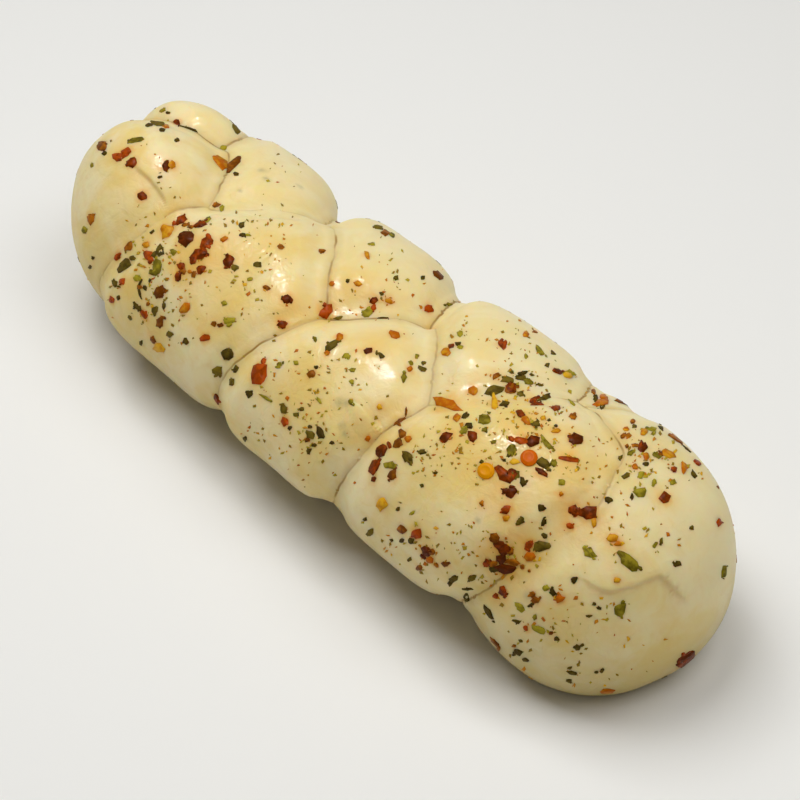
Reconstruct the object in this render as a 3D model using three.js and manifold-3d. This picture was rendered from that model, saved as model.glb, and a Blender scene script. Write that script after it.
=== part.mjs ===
// Braided string cheese: a plait of soft lobes, with chilli and herb flakes pressed into its skin.
// One solid. Millimetres, Z up. The plait runs along X with its big rounded near end at +X,
// and the origin is at the middle of the underside.

import * as THREE from "three";
import { mergeVertices } from "three/addons/utils/BufferGeometryUtils.js";
import Module from "manifold-3d";

const wasm = await Module();
wasm.setup();

// The plait as a whole. Pairs of sizes are for the far end and the near end.
const FAR_X = -57;
const NEAR_X = 73;
const HALF_WIDTH = [26.5, 27.5];
const HALF_HEIGHT = [20.5, 23];
const SQUASH = 1.5; // how far the soft underside is pressed flat
const CENTRING = [-0.48, 0.33, 0]; // brings the middle of the whole plait over the origin

// One strand where it passes round the plait.
const STRAND_HALF_WIDTH = 17.5;
const STRAND_HALF_THICKNESS = 11.5;
const SECTION_ROUNDNESS = 0.87; // 1 is an ellipse, less is fuller at the corners
const LOOP_ROUNDNESS = 0.9;
const LEAN = 12; // millimetres towards the near end for each radian of turn

// Turn is counted in degrees from the plait's side, up over the crown and down beneath.
const UNDER_TURN = -110;
const OVER_TURN = 107;
const CROWN_DIP = { start: 75, end: 130, depth: 0.25 };
const UNDER_DIP = { start: 40, end: 110, depth: 0.3 };
const TIP_SHARE = 0.17; // share of a lobe's length that each rounded tip takes
const HEADING_STEP = 14; // half the turn over which a strand's heading is taken

// The lobes that show, from the far end to the near end, left ones on -Y and right ones on +Y.
// Reach and rise scale the plait's size, wide and thick the strand's, lean its slant. Over is how
// much further the lobe turns past the crown, and flare how much wider it gets on the way there.
const LOBES = [
  { side: 1, x: -55.3, reach: 1.04, rise: 0.98, wide: 0.91, thick: 1.23, lean: 0.97, flare: -0.12 },
  { side: -1, x: -35, reach: 1.01, rise: 1.05, wide: 1.13, thick: 1.07, lean: 1, flare: 0.05 },
  { side: 1, x: -18.7, reach: 1.015, rise: 0.99, wide: 0.91, thick: 1.165, lean: 0.92 },
  { side: -1, x: 1.7, reach: 1.04, rise: 0.93, wide: 0.975, thick: 1.07, lean: 0.95, over: -5.5 },
  { side: 1, x: 17.6, reach: 1.015, rise: 1, wide: 0.96, thick: 1.01, lean: 0.96 },
  { side: -1, x: 36.6, reach: 0.98, rise: 1.055, wide: 0.98, thick: 1.065, lean: 1.06, over: 15 },
  { side: 1, x: 42.5, reach: 0.97, rise: 0.84, wide: 0.72, thick: 0.94, lean: 0.96 },
];

// Rounded ends: the first lobe, the strand end tucked behind it, the last lobe, and the heart
// that the strands are pressed against.
const ENDS = [
  { at: [-60.8, -5, 20.4], radii: [25.5, 18.8, 23], yaw: -10.5, pitch: 16, roundness: 1.07 },
  { at: [-69.5, 10, 23.4], radii: [16, 9.9, 16.3], yaw: 16.5, pitch: 6.5, roundness: 1 },
  { at: [60, 2.5, 17], radii: [26.3, 24.8, 24.6], yaw: -13, pitch: -2.5, roundness: 0.907 },
];
const HEART = { at: [13, 0, 20], radii: [62, 12, 9], yaw: 0, pitch: 0, roundness: 0.9 };

// How finely each shape is faceted, round it and along it.
const LOBE_FACETS = [24, 28];
const END_FACETS = [28, 20];
const HEART_FACETS = [16, 12];
const SEED_FACETS = [8, 5];

// Flakes lie thickest in patches on the crown of the big lobes and thinly everywhere else.
// A patch is centred at x and a turn, and spreads by a distance and an angle.
const PATCHES = [
  { count: 22, x: -38, turn: 62, spread: 13, fan: 24 },
  { count: 26, x: 42, turn: 82, spread: 12, fan: 20 },
  { count: 9, x: 33, turn: 96, spread: 7, fan: 12 },
  { count: 12, x: 62, turn: 60, spread: 12, fan: 40 },
  { count: 10, x: 8, turn: 50, spread: 14, fan: 34 },
  { count: 5, x: -58, turn: 70, spread: 9, fan: 26 },
  { count: 30, x: 0, turn: 100, spread: 74, fan: 110 },
];
const FLAKE_LENGTH = [4.6, 1.8]; // largest and smallest
const FLAKE_SLENDER = [0.35, 0.85];
const FLAKE_THICKNESS = 1.5;
const FLAKE_SINK = 0.25; // how far a flake's middle lies under the skin
const LOWEST_FLAKE = 3; // no flake lies nearer than this to what the cheese rests on
const SEED_RADIUS = 1.7;
const SEED_EVERY = 40; // one flake in so many is a round seed
const DRAW_SEED = 20871;

// What the cheese rests on, of which only the top face matters.
const BOARD = { length: 400, width: 200, height: 40 };
const OUTSIDE = 100; // a distance from the plait's axis that is clear of the plait
const WELD = 1e-5; // vertices closer than this are one

const CHEESE = new THREE.MeshStandardMaterial({ color: 0xece0bd, roughness: 0.42, metalness: 0 });

const power = (value, exponent) => Math.sign(value) * Math.abs(value) ** exponent;

// Even draws between 0 and 1 by the Park-Miller rule.
function seededDraw(seed) {
  const multiplier = 16807;
  const modulus = 2 ** 31 - 1;
  let state = seed;
  return () => {
    state = (state * multiplier) % modulus;
    return state / modulus;
  };
}

// A closed geometry as a solid, with only its positions kept.
function solidOf(geometry) {
  const bare = geometry.clone();
  bare.deleteAttribute("normal");
  bare.deleteAttribute("uv");
  const merged = mergeVertices(bare, WELD);
  const vertProperties = new Float32Array(merged.attributes.position.array);
  const triVerts = new Uint32Array(merged.index.array);
  return new wasm.Manifold(new wasm.Mesh({ numProp: 3, vertProperties, triVerts }));
}

// The main body alone: sealed hollows are filled and loose scraps dropped.
function mainBody(solid) {
  return solid.decompose().reduce((main, shell) => (shell.volume() > main.volume() ? shell : main));
}

function geometryOf(solid) {
  const { vertProperties, triVerts } = solid.getMesh();
  const geometry = new THREE.BufferGeometry();
  geometry.setAttribute("position", new THREE.BufferAttribute(vertProperties, 3));
  geometry.setIndex(new THREE.BufferAttribute(triVerts, 1));
  geometry.computeVertexNormals();
  return geometry;
}

// Moves every vertex of a unit sphere, given as its place down the sphere and round it.
function shapeSphere([around, rows], place) {
  const geometry = new THREE.SphereGeometry(1, around, rows);
  const position = geometry.attributes.position;
  for (let i = 0; i < position.count; i++) {
    const row = Math.floor(i / (around + 1));
    const column = (i % (around + 1)) % around;
    const spot = place(row / rows, (column / around) * 2 * Math.PI);
    position.setXYZ(i, spot.x, spot.y, spot.z);
  }
  return geometry;
}

// A strand's lobe: a flattened tube that comes up from beneath, round the plait's side and over
// its crown, leaning towards the near end, and dips under the next lobe.
function strandLobe({ side, x, reach, rise, wide, thick, lean, over = 0, flare = 0 }) {
  const along = (x - FAR_X) / (NEAR_X - FAR_X);
  const halfHeight = THREE.MathUtils.lerp(...HALF_HEIGHT, along);
  const thickness = STRAND_HALF_THICKNESS * thick;
  const loopY = THREE.MathUtils.lerp(...HALF_WIDTH, along) * reach - thickness;
  const loopZ = halfHeight * rise - thickness;
  const dip = ({ start, end, depth }, turn) => depth * THREE.MathUtils.smoothstep(turn, start, end);

  const centre = (turn) => {
    const radians = THREE.MathUtils.degToRad(turn);
    const pull = 1 - dip(CROWN_DIP, turn) - dip(UNDER_DIP, -turn);
    return new THREE.Vector3(
      x + LEAN * lean * radians,
      side * loopY * power(Math.cos(radians), LOOP_ROUNDNESS) * pull,
      halfHeight - SQUASH + loopZ * power(Math.sin(radians), LOOP_ROUNDNESS) * pull,
    );
  };

  return shapeSphere(LOBE_FACETS, (share, round) => {
    const turn = THREE.MathUtils.lerp(UNDER_TURN, OVER_TURN + over, share);
    const radians = THREE.MathUtils.degToRad(turn);
    const heading = centre(turn + HEADING_STEP).sub(centre(turn - HEADING_STEP)).normalize();
    const outward = new THREE.Vector3(0, (side * Math.cos(radians)) / loopY, Math.sin(radians) / loopZ);
    outward.addScaledVector(heading, -outward.dot(heading)).normalize();
    const across = new THREE.Vector3().crossVectors(heading, outward);
    const tip = Math.min(1, share / TIP_SHARE, (1 - share) / TIP_SHARE);
    const fullness = Math.sqrt(1 - (1 - tip) ** 2);
    const halfWidth = STRAND_HALF_WIDTH * wide * (1 + flare * (2 * share - 1));
    const width = halfWidth * fullness * power(Math.cos(round), SECTION_ROUNDNESS);
    const height = thickness * fullness * power(Math.sin(round), SECTION_ROUNDNESS);
    return centre(turn).addScaledVector(across, width).addScaledVector(outward, height);
  });
}

// A rounded end piece: a ball stretched to three radii, tipped by its pitch and turned by its yaw.
function dome({ at, radii, yaw, pitch, roundness }, facets) {
  const tipping = new THREE.Euler(0, THREE.MathUtils.degToRad(pitch), THREE.MathUtils.degToRad(yaw), "ZYX");
  return shapeSphere(facets, (share, round) => {
    const level = power(Math.sin(share * Math.PI), roundness);
    return new THREE.Vector3(
      radii[0] * level * power(Math.cos(round), roundness),
      radii[1] * level * power(Math.sin(round), roundness),
      radii[2] * power(Math.cos(share * Math.PI), roundness),
    ).applyEuler(tipping).add(new THREE.Vector3(...at));
  });
}

function plait() {
  let body = solidOf(dome(HEART, HEART_FACETS));
  for (const end of ENDS) {
    body = body.add(solidOf(dome(end, END_FACETS)));
  }
  for (const lobe of LOBES) {
    body = body.add(solidOf(strandLobe(lobe)));
  }
  const board = new THREE.BoxGeometry(BOARD.length, BOARD.width, BOARD.height);
  board.translate(0, 0, -BOARD.height / 2);
  return body.subtract(solidOf(board));
}

// A flake: a flattened crystal of a few faces, or now and then a round seed.
function flake(draw, length, round) {
  if (round) {
    return new THREE.SphereGeometry(1, ...SEED_FACETS).scale(SEED_RADIUS, FLAKE_THICKNESS / 2, SEED_RADIUS);
  }
  const slender = THREE.MathUtils.lerp(...FLAKE_SLENDER, draw());
  return new THREE.IcosahedronGeometry(1, 0)
    .rotateZ(draw() * Math.PI)
    .scale(length / 2, FLAKE_THICKNESS / 2, (length * slender) / 2)
    .rotateY(draw() * 2 * Math.PI);
}

// Finds the skin from outside, at a turn round the plait's middle line.
function skinAt(skin, x, turn) {
  const radians = THREE.MathUtils.degToRad(turn);
  const outward = new THREE.Vector3(0, -Math.cos(radians), Math.sin(radians));
  const start = new THREE.Vector3(x, 0, HALF_HEIGHT[0]).addScaledVector(outward, OUTSIDE);
  const [hit] = new THREE.Raycaster(start, outward.clone().negate()).intersectObject(skin);
  return hit;
}

function withFlakes(body) {
  const draw = seededDraw(DRAW_SEED);
  const spread = () => draw() + draw() + draw() - 1.5;
  const skin = new THREE.Mesh(geometryOf(body));
  const total = PATCHES.reduce((sum, patch) => sum + patch.count, 0);
  let laid = 0;
  for (const patch of PATCHES) {
    for (let i = 0; i < patch.count; i++) {
      const length = THREE.MathUtils.lerp(...FLAKE_LENGTH, i / patch.count);
      const hit = skinAt(skin, patch.x + patch.spread * spread(), patch.turn + patch.fan * spread());
      const piece = flake(draw, length, laid % SEED_EVERY === SEED_EVERY - 1);
      laid += 1;
      if (!hit || hit.point.z < LOWEST_FLAKE) {
        continue;
      }
      const facing = new THREE.Quaternion().setFromUnitVectors(new THREE.Vector3(0, 1, 0), hit.face.normal);
      piece.applyQuaternion(facing);
      piece.translate(...hit.point.addScaledVector(hit.face.normal, -FLAKE_SINK).toArray());
      body = body.add(solidOf(piece));
    }
  }
  return mainBody(body);
}

const group = new THREE.Group();
const cheese = new THREE.Mesh(geometryOf(withFlakes(plait())), CHEESE);
cheese.name = "cheese_braid";
cheese.position.set(...CENTRING);
group.add(cheese);

export default group;
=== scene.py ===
"""Braided string cheese: a plait of soft ivory lobes with chilli flakes, seeds and herbs on its skin.

The plait runs along X with its big rounded end at +X, Z is up and the cheese rests on Z = 0.
"""

import random
from collections import namedtuple
from contextlib import contextmanager
from functools import partial

import bmesh
import bpy
import numpy as np
from bpy.props import FloatProperty, FloatVectorProperty, IntProperty, PointerProperty
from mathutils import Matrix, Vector
from mathutils.bvhtree import BVHTree
from mathutils.kdtree import KDTree


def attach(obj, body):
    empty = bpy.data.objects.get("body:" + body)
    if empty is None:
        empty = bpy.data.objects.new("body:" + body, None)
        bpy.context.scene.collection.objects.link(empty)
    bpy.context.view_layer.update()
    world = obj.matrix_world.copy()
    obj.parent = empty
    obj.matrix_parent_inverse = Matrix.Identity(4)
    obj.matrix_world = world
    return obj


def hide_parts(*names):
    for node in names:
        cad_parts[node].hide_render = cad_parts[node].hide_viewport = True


bl_info = {
    "name": "Braided String Cheese",
    "version": (1, 0, 0),
    "blender": (4, 5, 0),
    "location": "View3D > Sidebar > Braid",
    "description": "Builds a braided string cheese with chilli and herb flakes",
    "category": "Add Mesh",
}

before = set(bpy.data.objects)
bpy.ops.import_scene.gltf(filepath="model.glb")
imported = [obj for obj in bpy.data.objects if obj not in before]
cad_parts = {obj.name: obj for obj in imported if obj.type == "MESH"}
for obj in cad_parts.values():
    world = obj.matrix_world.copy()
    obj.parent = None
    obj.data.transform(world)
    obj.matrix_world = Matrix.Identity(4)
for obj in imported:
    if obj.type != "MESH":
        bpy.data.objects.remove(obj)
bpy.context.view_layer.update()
NODE = "cheese_braid"
BODY = "root"
MM = 0.001

# The plait as a whole, in millimetres. Pairs of sizes are for the far end and the near end.
FAR_X = -57.0
NEAR_X = 73.0
HALF_WIDTH = (26.5, 27.5)
HALF_HEIGHT = (20.5, 23.0)
SQUASH = 1.5
CENTRING = (-0.48, 0.33, 0.0)

# One strand where it passes round the plait.
STRAND_HALF_WIDTH = 17.5
STRAND_HALF_THICKNESS = 11.5
SECTION_ROUNDNESS = 0.87
LOOP_ROUNDNESS = 0.9
LEAN = 12.0

# Turn is counted in degrees from the plait's side, up over the crown and down beneath.
UNDER_TURN = -110.0
OVER_TURN = 107.0
CROWN_DIP = (75.0, 130.0, 0.25)
UNDER_DIP = (40.0, 110.0, 0.3)
TIP_SHARE = 0.17
HEADING_STEP = 14.0  # half the turn over which a strand's heading is taken

# The lobes that show, from the far end to the near end, left ones on -Y and right ones on +Y.
# Reach and rise scale the plait's size, wide and thick the strand's, lean its slant. Over is how
# much further the lobe turns past the crown, and flare how much wider it gets on the way there.
LOBES = (
    dict(side=1, x=-55.3, reach=1.04, rise=0.98, wide=0.91, thick=1.23, lean=0.97, flare=-0.12),
    dict(side=-1, x=-35.0, reach=1.01, rise=1.05, wide=1.13, thick=1.07, lean=1.0, flare=0.05),
    dict(side=1, x=-18.7, reach=1.015, rise=0.99, wide=0.91, thick=1.165, lean=0.92),
    dict(side=-1, x=1.7, reach=1.04, rise=0.93, wide=0.975, thick=1.07, lean=0.95, over=-5.5),
    dict(side=1, x=17.6, reach=1.015, rise=1.0, wide=0.96, thick=1.01, lean=0.96),
    dict(side=-1, x=36.6, reach=0.98, rise=1.055, wide=0.98, thick=1.065, lean=1.06, over=15.0),
    dict(side=1, x=42.5, reach=0.97, rise=0.84, wide=0.72, thick=0.94, lean=0.96),
)

# Rounded ends: the first lobe, the strand end tucked behind it, the last lobe, and the heart
# that the strands are pressed against.
ENDS = (
    dict(at=(-60.8, -5.0, 20.4), radii=(25.5, 18.8, 23.0), yaw=-10.5, pitch=16.0, roundness=1.07),
    dict(at=(-69.5, 10.0, 23.4), radii=(16.0, 9.9, 16.3), yaw=16.5, pitch=6.5, roundness=1.0),
    dict(at=(60.0, 2.5, 17.0), radii=(26.3, 24.8, 24.6), yaw=-13.0, pitch=-2.5, roundness=0.907),
    dict(at=(13.0, 0.0, 20.0), radii=(62.0, 12.0, 9.0), yaw=0.0, pitch=0.0, roundness=0.9),
)

# The picture that the camera takes, in pixels, and how many pixels away it lies from the lens.
PICTURE = 800
PICTURE_DISTANCE = 2438.8
SENSOR = 36.0

# Where the camera stands: what it is aimed at and how far off it is, in millimetres, and its angles.
AIM = (9.46, -0.92, 20.9)
CAMERA_DISTANCE = 470.0
AZIMUTH = 49.57
ELEVATION = 43.34

# A flake: its middle, length and width in the picture's pixels, its slant in degrees, counted up from
# the picture's right, and its tone, from the darkest of its kind at 0 to the lightest at 1.
Bit = namedtuple("Bit", "px py long wide slant tone")


def table(kind, *rows):
    return [kind(*row) for row in rows]


CHILLI_FLAKES = table(
    Bit,
    (687, 660, 21, 10, 35, 0.3), (181, 220, 11, 7, 35, 0.5), (200, 224, 13, 5, 20, 0.35),
    (185, 238, 15, 14, 70, 0.05), (206, 243, 15, 9, 40, 0.55), (199, 254, 14, 10, 30, 0.4),
    (193, 260, 9, 6, 60, 0.35), (204, 253, 8, 8, 0, 0.45), (149, 256, 8, 8, 0, 0.7),
    (150, 261, 5, 4, 90, 0.6), (118, 256, 8, 4, 50, 0.6), (229, 261, 11, 10, 70, 0.25),
    (201, 270, 9, 8, 60, 0.45), (181, 266, 7, 6, 0, 0.4), (178, 277, 8, 5, 80, 0.3),
    (122, 281, 6, 5, 90, 0.65), (112, 300, 7, 4, -80, 0.65), (144, 315, 9, 5, -55, 0.7),
    (205, 338, 9, 6, 10, 0.65), (447, 436, 12, 8, 45, 0.2), (472, 436, 10, 9, 80, 0.2),
    (534, 400, 8, 5, 40, 0.4), (538, 404, 13, 3, 0, 0.3), (556, 407, 8, 6, 0, 0.45),
    (521, 414, 10, 6, -40, 0.2), (520, 440, 13, 7, 0, 0.75), (533, 441, 14, 10, 10, 0.1),
    (505, 475, 23, 12, -42, 0.45), (511, 492, 10, 9, 60, 0.1), (505, 491, 6, 5, 0, 0.1),
    (506, 509, 9, 8, 70, 0.6), (570, 526, 6, 5, 0, 0.8), (573, 510, 9, 8, 90, 0.45),
    (570, 459, 20, 4, -8, 0.6), (576, 439, 12, 11, 0, 0.0), (542, 472, 14, 5, -30, 0.15),
    (499, 545, 10, 8, 0, 0.2), (505, 550, 12, 10, 60, 0.1), (501, 558, 10, 9, 90, 0.0),
    (506, 569, 22, 9, -5, 0.0), (487, 563, 7, 7, 0, 0.4), (529, 545, 10, 6, 60, 0.6),
    (503, 592, 10, 7, -70, 0.35), (496, 596, 5, 5, 0, 0.5), (526, 628, 4, 4, 0, 0.6),
    (643, 447, 9, 8, 30, 0.3), (587, 513, 17, 12, 0, 0.35), (576, 511, 8, 9, 0, 0.5),
    (665, 498, 9, 9, 60, 0.45), (674, 469, 5, 5, 0, 0.5), (698, 463, 8, 4, -40, 0.5),
    (705, 465, 5, 3, -40, 0.4), (687, 660, 21, 10, 35, 0.25), (719, 522, 8, 4, 90, 0.9),
    (530, 543, 5, 4, 0, 0.7), (570, 526, 6, 5, 0, 0.8), (605, 700, 9, 3, 0, 0.3),
    (177, 123, 6, 6, 0, 0.3), (132, 162, 10, 9, 20, 0.35), (126, 152, 13, 7, 50, 0.8),
    (117, 157, 8, 7, 0, 0.7), (166, 165, 11, 7, 80, 0.1), (142, 196, 8, 8, 0, 0.45),
    (258, 372, 22, 15, 80, 0.75), (327, 312, 14, 13, 0, 0.8), (287, 299, 9, 7, 20, 0.15),
    (282, 324, 9, 8, 0, 0.4), (285, 422, 9, 6, -80, 0.8), (217, 399, 10, 5, -65, 0.4),
    (374, 301, 7, 6, 40, 0.35), (373, 308, 6, 5, 90, 0.8), (429, 309, 7, 7, 0, 0.85),
    (451, 346, 5, 4, 0, 0.3), (382, 450, 14, 9, 60, 0.2), (374, 466, 16, 7, 65, 0.35),
    (374, 479, 5, 4, 60, 0.3), (416, 534, 9, 9, 0, 0.7), (427, 552, 12, 9, -40, 0.05),
    (503, 345, 9, 6, -60, 0.5), (511, 388, 9, 9, 0, 0.2), (558, 371, 9, 4, -25, 0.3),
    (368, 351, 7, 5, 0, 0.0),
)

PEPPER_SLIVERS = table(
    Bit,
    (167, 231, 16, 12, 50, 0.5), (146, 245, 6, 5, 60, 0.3), (224, 239, 7, 3, 30, 0.2),
    (185, 308, 11, 7, 50, 0.2), (447, 404, 30, 9, -20, 0.15), (495, 403, 17, 5, 90, 0.85),
    (473, 391, 8, 7, 30, 0.35), (457, 417, 8, 6, 80, 0.3), (526, 420, 11, 5, -40, 0.3),
    (543, 418, 4, 3, 0, 0.6), (556, 431, 8, 3, 0, 0.3), (506, 518, 6, 5, 0, 0.4),
    (561, 494, 4, 4, 0, 0.4), (514, 462, 10, 5, 0, 1.0), (159, 348, 11, 8, 0, 0.8),
    (530, 557, 11, 9, 10, 0.0), (604, 397, 7, 6, 0, 0.1), (602, 403, 17, 6, 12, 0.15),
    (607, 691, 14, 4, 4, 0.15), (644, 432, 6, 5, 0, 0.4), (668, 454, 15, 6, -25, 0.4),
    (646, 456, 7, 5, 90, 0.1), (635, 467, 5, 5, 0, 0.2), (684, 468, 10, 4, 90, 0.25),
    (594, 523, 10, 4, 90, 0.45), (612, 538, 11, 7, 10, 0.5), (618, 544, 7, 5, 0, 0.35),
    (560, 599, 9, 6, 20, 0.1), (617, 580, 6, 4, 0, 0.6), (626, 429, 5, 3, 0, 0.4),
    (166, 126, 6, 5, 0, 0.2), (172, 165, 8, 6, 90, 0.5), (220, 162, 16, 9, -40, 0.25),
    (340, 337, 8, 6, 40, 0.1), (327, 353, 5, 4, 0, 0.3), (394, 334, 11, 6, -15, 0.0),
    (389, 301, 7, 4, -30, 0.3), (367, 255, 8, 4, -60, 0.4), (358, 284, 8, 5, -15, 0.3),
    (332, 284, 5, 4, 0, 0.2), (446, 352, 8, 7, 0, 0.35), (410, 369, 5, 4, 0, 0.1),
    (380, 407, 5, 5, 0, 0.7), (408, 439, 6, 5, 0, 0.2), (382, 504, 13, 9, 65, 0.75),
    (368, 439, 5, 5, 0, 0.1), (526, 334, 5, 5, 0, 0.2), (473, 391, 8, 7, 30, 0.3),
    (591, 382, 6, 4, -30, 0.1), (568, 375, 8, 4, -15, 1.0), (430, 560, 6, 5, -40, 0.1),
)

ROUND_SEEDS = table(
    Bit,
    (529, 458, 17.5, 16.5, 0, 0.0), (486, 471, 17.5, 16.5, 0, 1.0),
)

DARK_HERBS = table(
    Bit,
    (677, 564, 7, 5, 0, 0.2), (160, 249, 12, 8, 60, 0.5), (154, 254, 7, 3, 30, 0.3),
    (124, 265, 16, 10, 45, 0.5), (235, 268, 6, 6, 0, 0.9), (136, 306, 8, 4, -60, 0.3),
    (139, 308, 6, 4, -50, 0.3), (115, 284, 10, 5, -80, 0.35), (145, 288, 4, 3, 90, 0.2),
    (139.5, 284, 9, 1.5, 68, 0.1), (140, 293.5, 11, 1.5, 104, 0.1), (118, 298, 4, 3, 90, 0.2),
    (150, 280, 5, 2, 90, 0.1), (155, 311, 9, 5, 90, 0.5), (164, 306, 6, 3, 80, 0.3),
    (170, 334, 6, 6, 0, 0.6), (186, 341, 7, 6, 20, 0.3), (228, 354, 10, 10, 30, 0.4),
    (257, 265, 7, 5, 0, 0.4), (242, 225, 5, 5, 0, 0.3), (243, 235, 6, 3, 0, 0.2),
    (152, 232, 4, 2, 30, 0.3), (130, 317, 5, 3, -70, 0.6), (141, 343, 4, 2, 90, 0.4),
    (496, 390, 21, 8, 10, 0.5), (521, 394, 7, 4, 0, 0.7), (505, 404, 10, 5, 0, 0.3),
    (545, 397, 14, 5, 18, 0.4), (466, 416, 8, 5, 30, 0.4), (469, 425, 7, 6, 0, 0.1),
    (536, 424, 9, 5, 20, 0.6), (544, 464, 12, 9, -50, 0.5), (509, 455, 4, 4, 0, 0.1),
    (504, 460, 5, 2, 0, 0.3), (482, 462, 4, 3, 0, 0.3), (516, 474, 8, 7, 0, 0.7),
    (523, 482, 10, 5, -70, 0.1), (520, 521, 8, 5, 20, 0.5), (544, 522, 7, 4, 80, 0.0),
    (542, 508, 6, 6, 0, 0.1), (556, 426, 3, 2, 0, 0.1), (549, 420, 3, 2, 0, 0.1),
    (542, 546, 15, 11, -10, 0.45), (545, 536, 6, 5, 0, 0.5), (553, 592, 9, 6, -60, 0.1),
    (489, 613, 17, 4, -60, 0.2), (531, 605, 8, 3, 25, 0.2), (574, 580, 6, 6, 0, 0.0),
    (599, 608, 4, 3, 0, 0.3), (594, 604, 3, 3, 0, 0.4), (589, 616, 5, 2, 0, 0.4),
    (517, 622, 9, 3, -20, 0.4), (557, 639, 4, 4, 0, 0.2), (577, 647, 7, 5, 0, 0.4),
    (582, 645, 4, 2, 20, 0.4), (519, 653, 9, 5, -20, 0.4), (526, 660, 6, 3, -30, 0.3),
    (521, 641, 4, 2, -20, 0.4), (570, 668, 4, 2, 0, 0.3), (572, 673, 10, 3, -8, 0.3),
    (569, 681, 5, 3, -20, 0.3), (596, 672, 3, 2, 20, 0.3), (602, 670, 4, 3, 40, 0.3),
    (607, 696, 19, 5, 0, 0.1), (653, 418, 10, 3, -20, 0.2), (661, 428, 6, 4, -45, 0.3),
    (603, 405, 9, 4, 75, 0.3), (664, 677, 5, 4, 30, 0.6), (596, 398, 6, 4, 80, 0.3),
    (634, 426, 4, 3, 0, 0.6), (620, 458, 5, 3, 80, 0.5), (646, 464, 5, 3, 0, 0.3),
    (687, 449, 12, 2.5, -40, 0.2), (694, 474, 8, 4, -60, 0.3), (626, 476, 7, 5, 25, 0.5),
    (632, 497, 6, 3, 90, 0.0), (609, 500, 7, 6, 0, 0.1), (692, 528, 4, 4, 0, 0.5),
    (472, 578, 7, 4, 30, 0.6), (493, 569, 9, 5, -35, 0.3), (661, 541, 7, 3, 80, 0.6),
    (157, 123, 13, 8, 0, 0.6), (149, 125, 6, 3, 10, 0.4), (162, 130, 5, 3, 0, 0.3),
    (190, 129, 20, 1.6, -22, 0.2), (177, 140, 4, 3, 0, 0.1), (105, 153, 5, 4, 0, 0.2),
    (160, 177, 4, 2, 10, 0.2), (236, 174, 4, 3, 0, 0.3), (236, 128, 10, 5, -60, 0.9),
    (168, 113, 3, 2, 0, 0.4), (90, 267, 3, 3, 0, 0.2), (93, 258, 3, 2, -40, 0.3),
    (331, 346, 13, 7, 25, 0.6), (316, 367, 3, 3, 0, 0.2), (249, 394, 7, 6, 90, 0.2),
    (232, 382, 6, 5, 70, 0.6), (236, 369, 6, 4, 70, 0.5), (217, 371, 9, 9, 0, 0.9),
    (284, 410, 10, 6, -80, 0.8), (290, 428, 4, 3, 80, 0.1), (296, 415, 4, 4, 0, 0.6),
    (302, 409, 4, 3, 20, 0.4), (311, 434, 10, 8, -30, 0.8), (320, 433, 13, 6, -75, 0.0),
    (314, 445, 4, 3, -20, 0.3), (310, 427, 3, 3, 0, 0.1), (309, 451, 5, 4, 80, 0.3),
    (332, 443, 4, 3, 0, 0.1), (382, 356, 9, 5, -40, 0.5), (423, 363, 5, 4, 0, 0.6),
    (423, 369, 9, 4, -20, 0.5), (382, 294, 5, 3, -20, 0.6), (378, 227, 9, 3, -10, 0.9),
    (396, 278, 4, 4, 0, 0.4), (423, 278, 3, 3, 0, 0.3), (348, 281, 3, 3, 0, 0.3),
    (458, 344, 5, 3, 0, 0.3), (383, 318, 10, 1.6, -5, 0.2), (338, 318, 10, 3, 5, 1.0),
    (407, 457, 13, 9, -70, 0.5), (422, 452, 7, 4, 15, 0.4), (411, 541, 5, 5, 0, 0.2),
    (402, 541, 4, 4, 0, 0.1), (410, 559, 4, 4, 0, 0.6), (392, 540, 3, 3, 0, 0.3),
    (454, 579, 8, 5, 20, 0.4), (450, 584, 4, 4, 0, 0.2), (472, 578, 8, 4, 20, 0.7),
    (370, 533, 7, 5, 30, 0.8), (365, 519, 3, 3, 0, 0.4), (398, 509, 3, 3, 0, 0.5),
    (467, 599, 10, 6, -60, 0.4), (468, 589, 10, 1.8, 0, 0.2), (336, 507, 8, 5, -65, 0.4),
    (245, 439, 4, 3, -60, 0.3), (422, 486, 3, 3, 0, 0.3), (435, 473, 4, 2, 0, 0.3),
    (553, 353, 5, 3, -45, 0.3), (547, 365, 4, 4, 0, 0.4), (549, 336, 10, 2.5, -45, 0.8),
    (523, 373, 9, 5, 0, 0.1), (512, 372, 4, 2, 0, 0.3), (521, 378, 9, 6, -10, 0.5),
    (508, 380, 13, 6, 0, 1.0), (532, 375, 4, 2, -20, 0.4), (540, 385, 6, 2, -10, 0.5),
)

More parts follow.
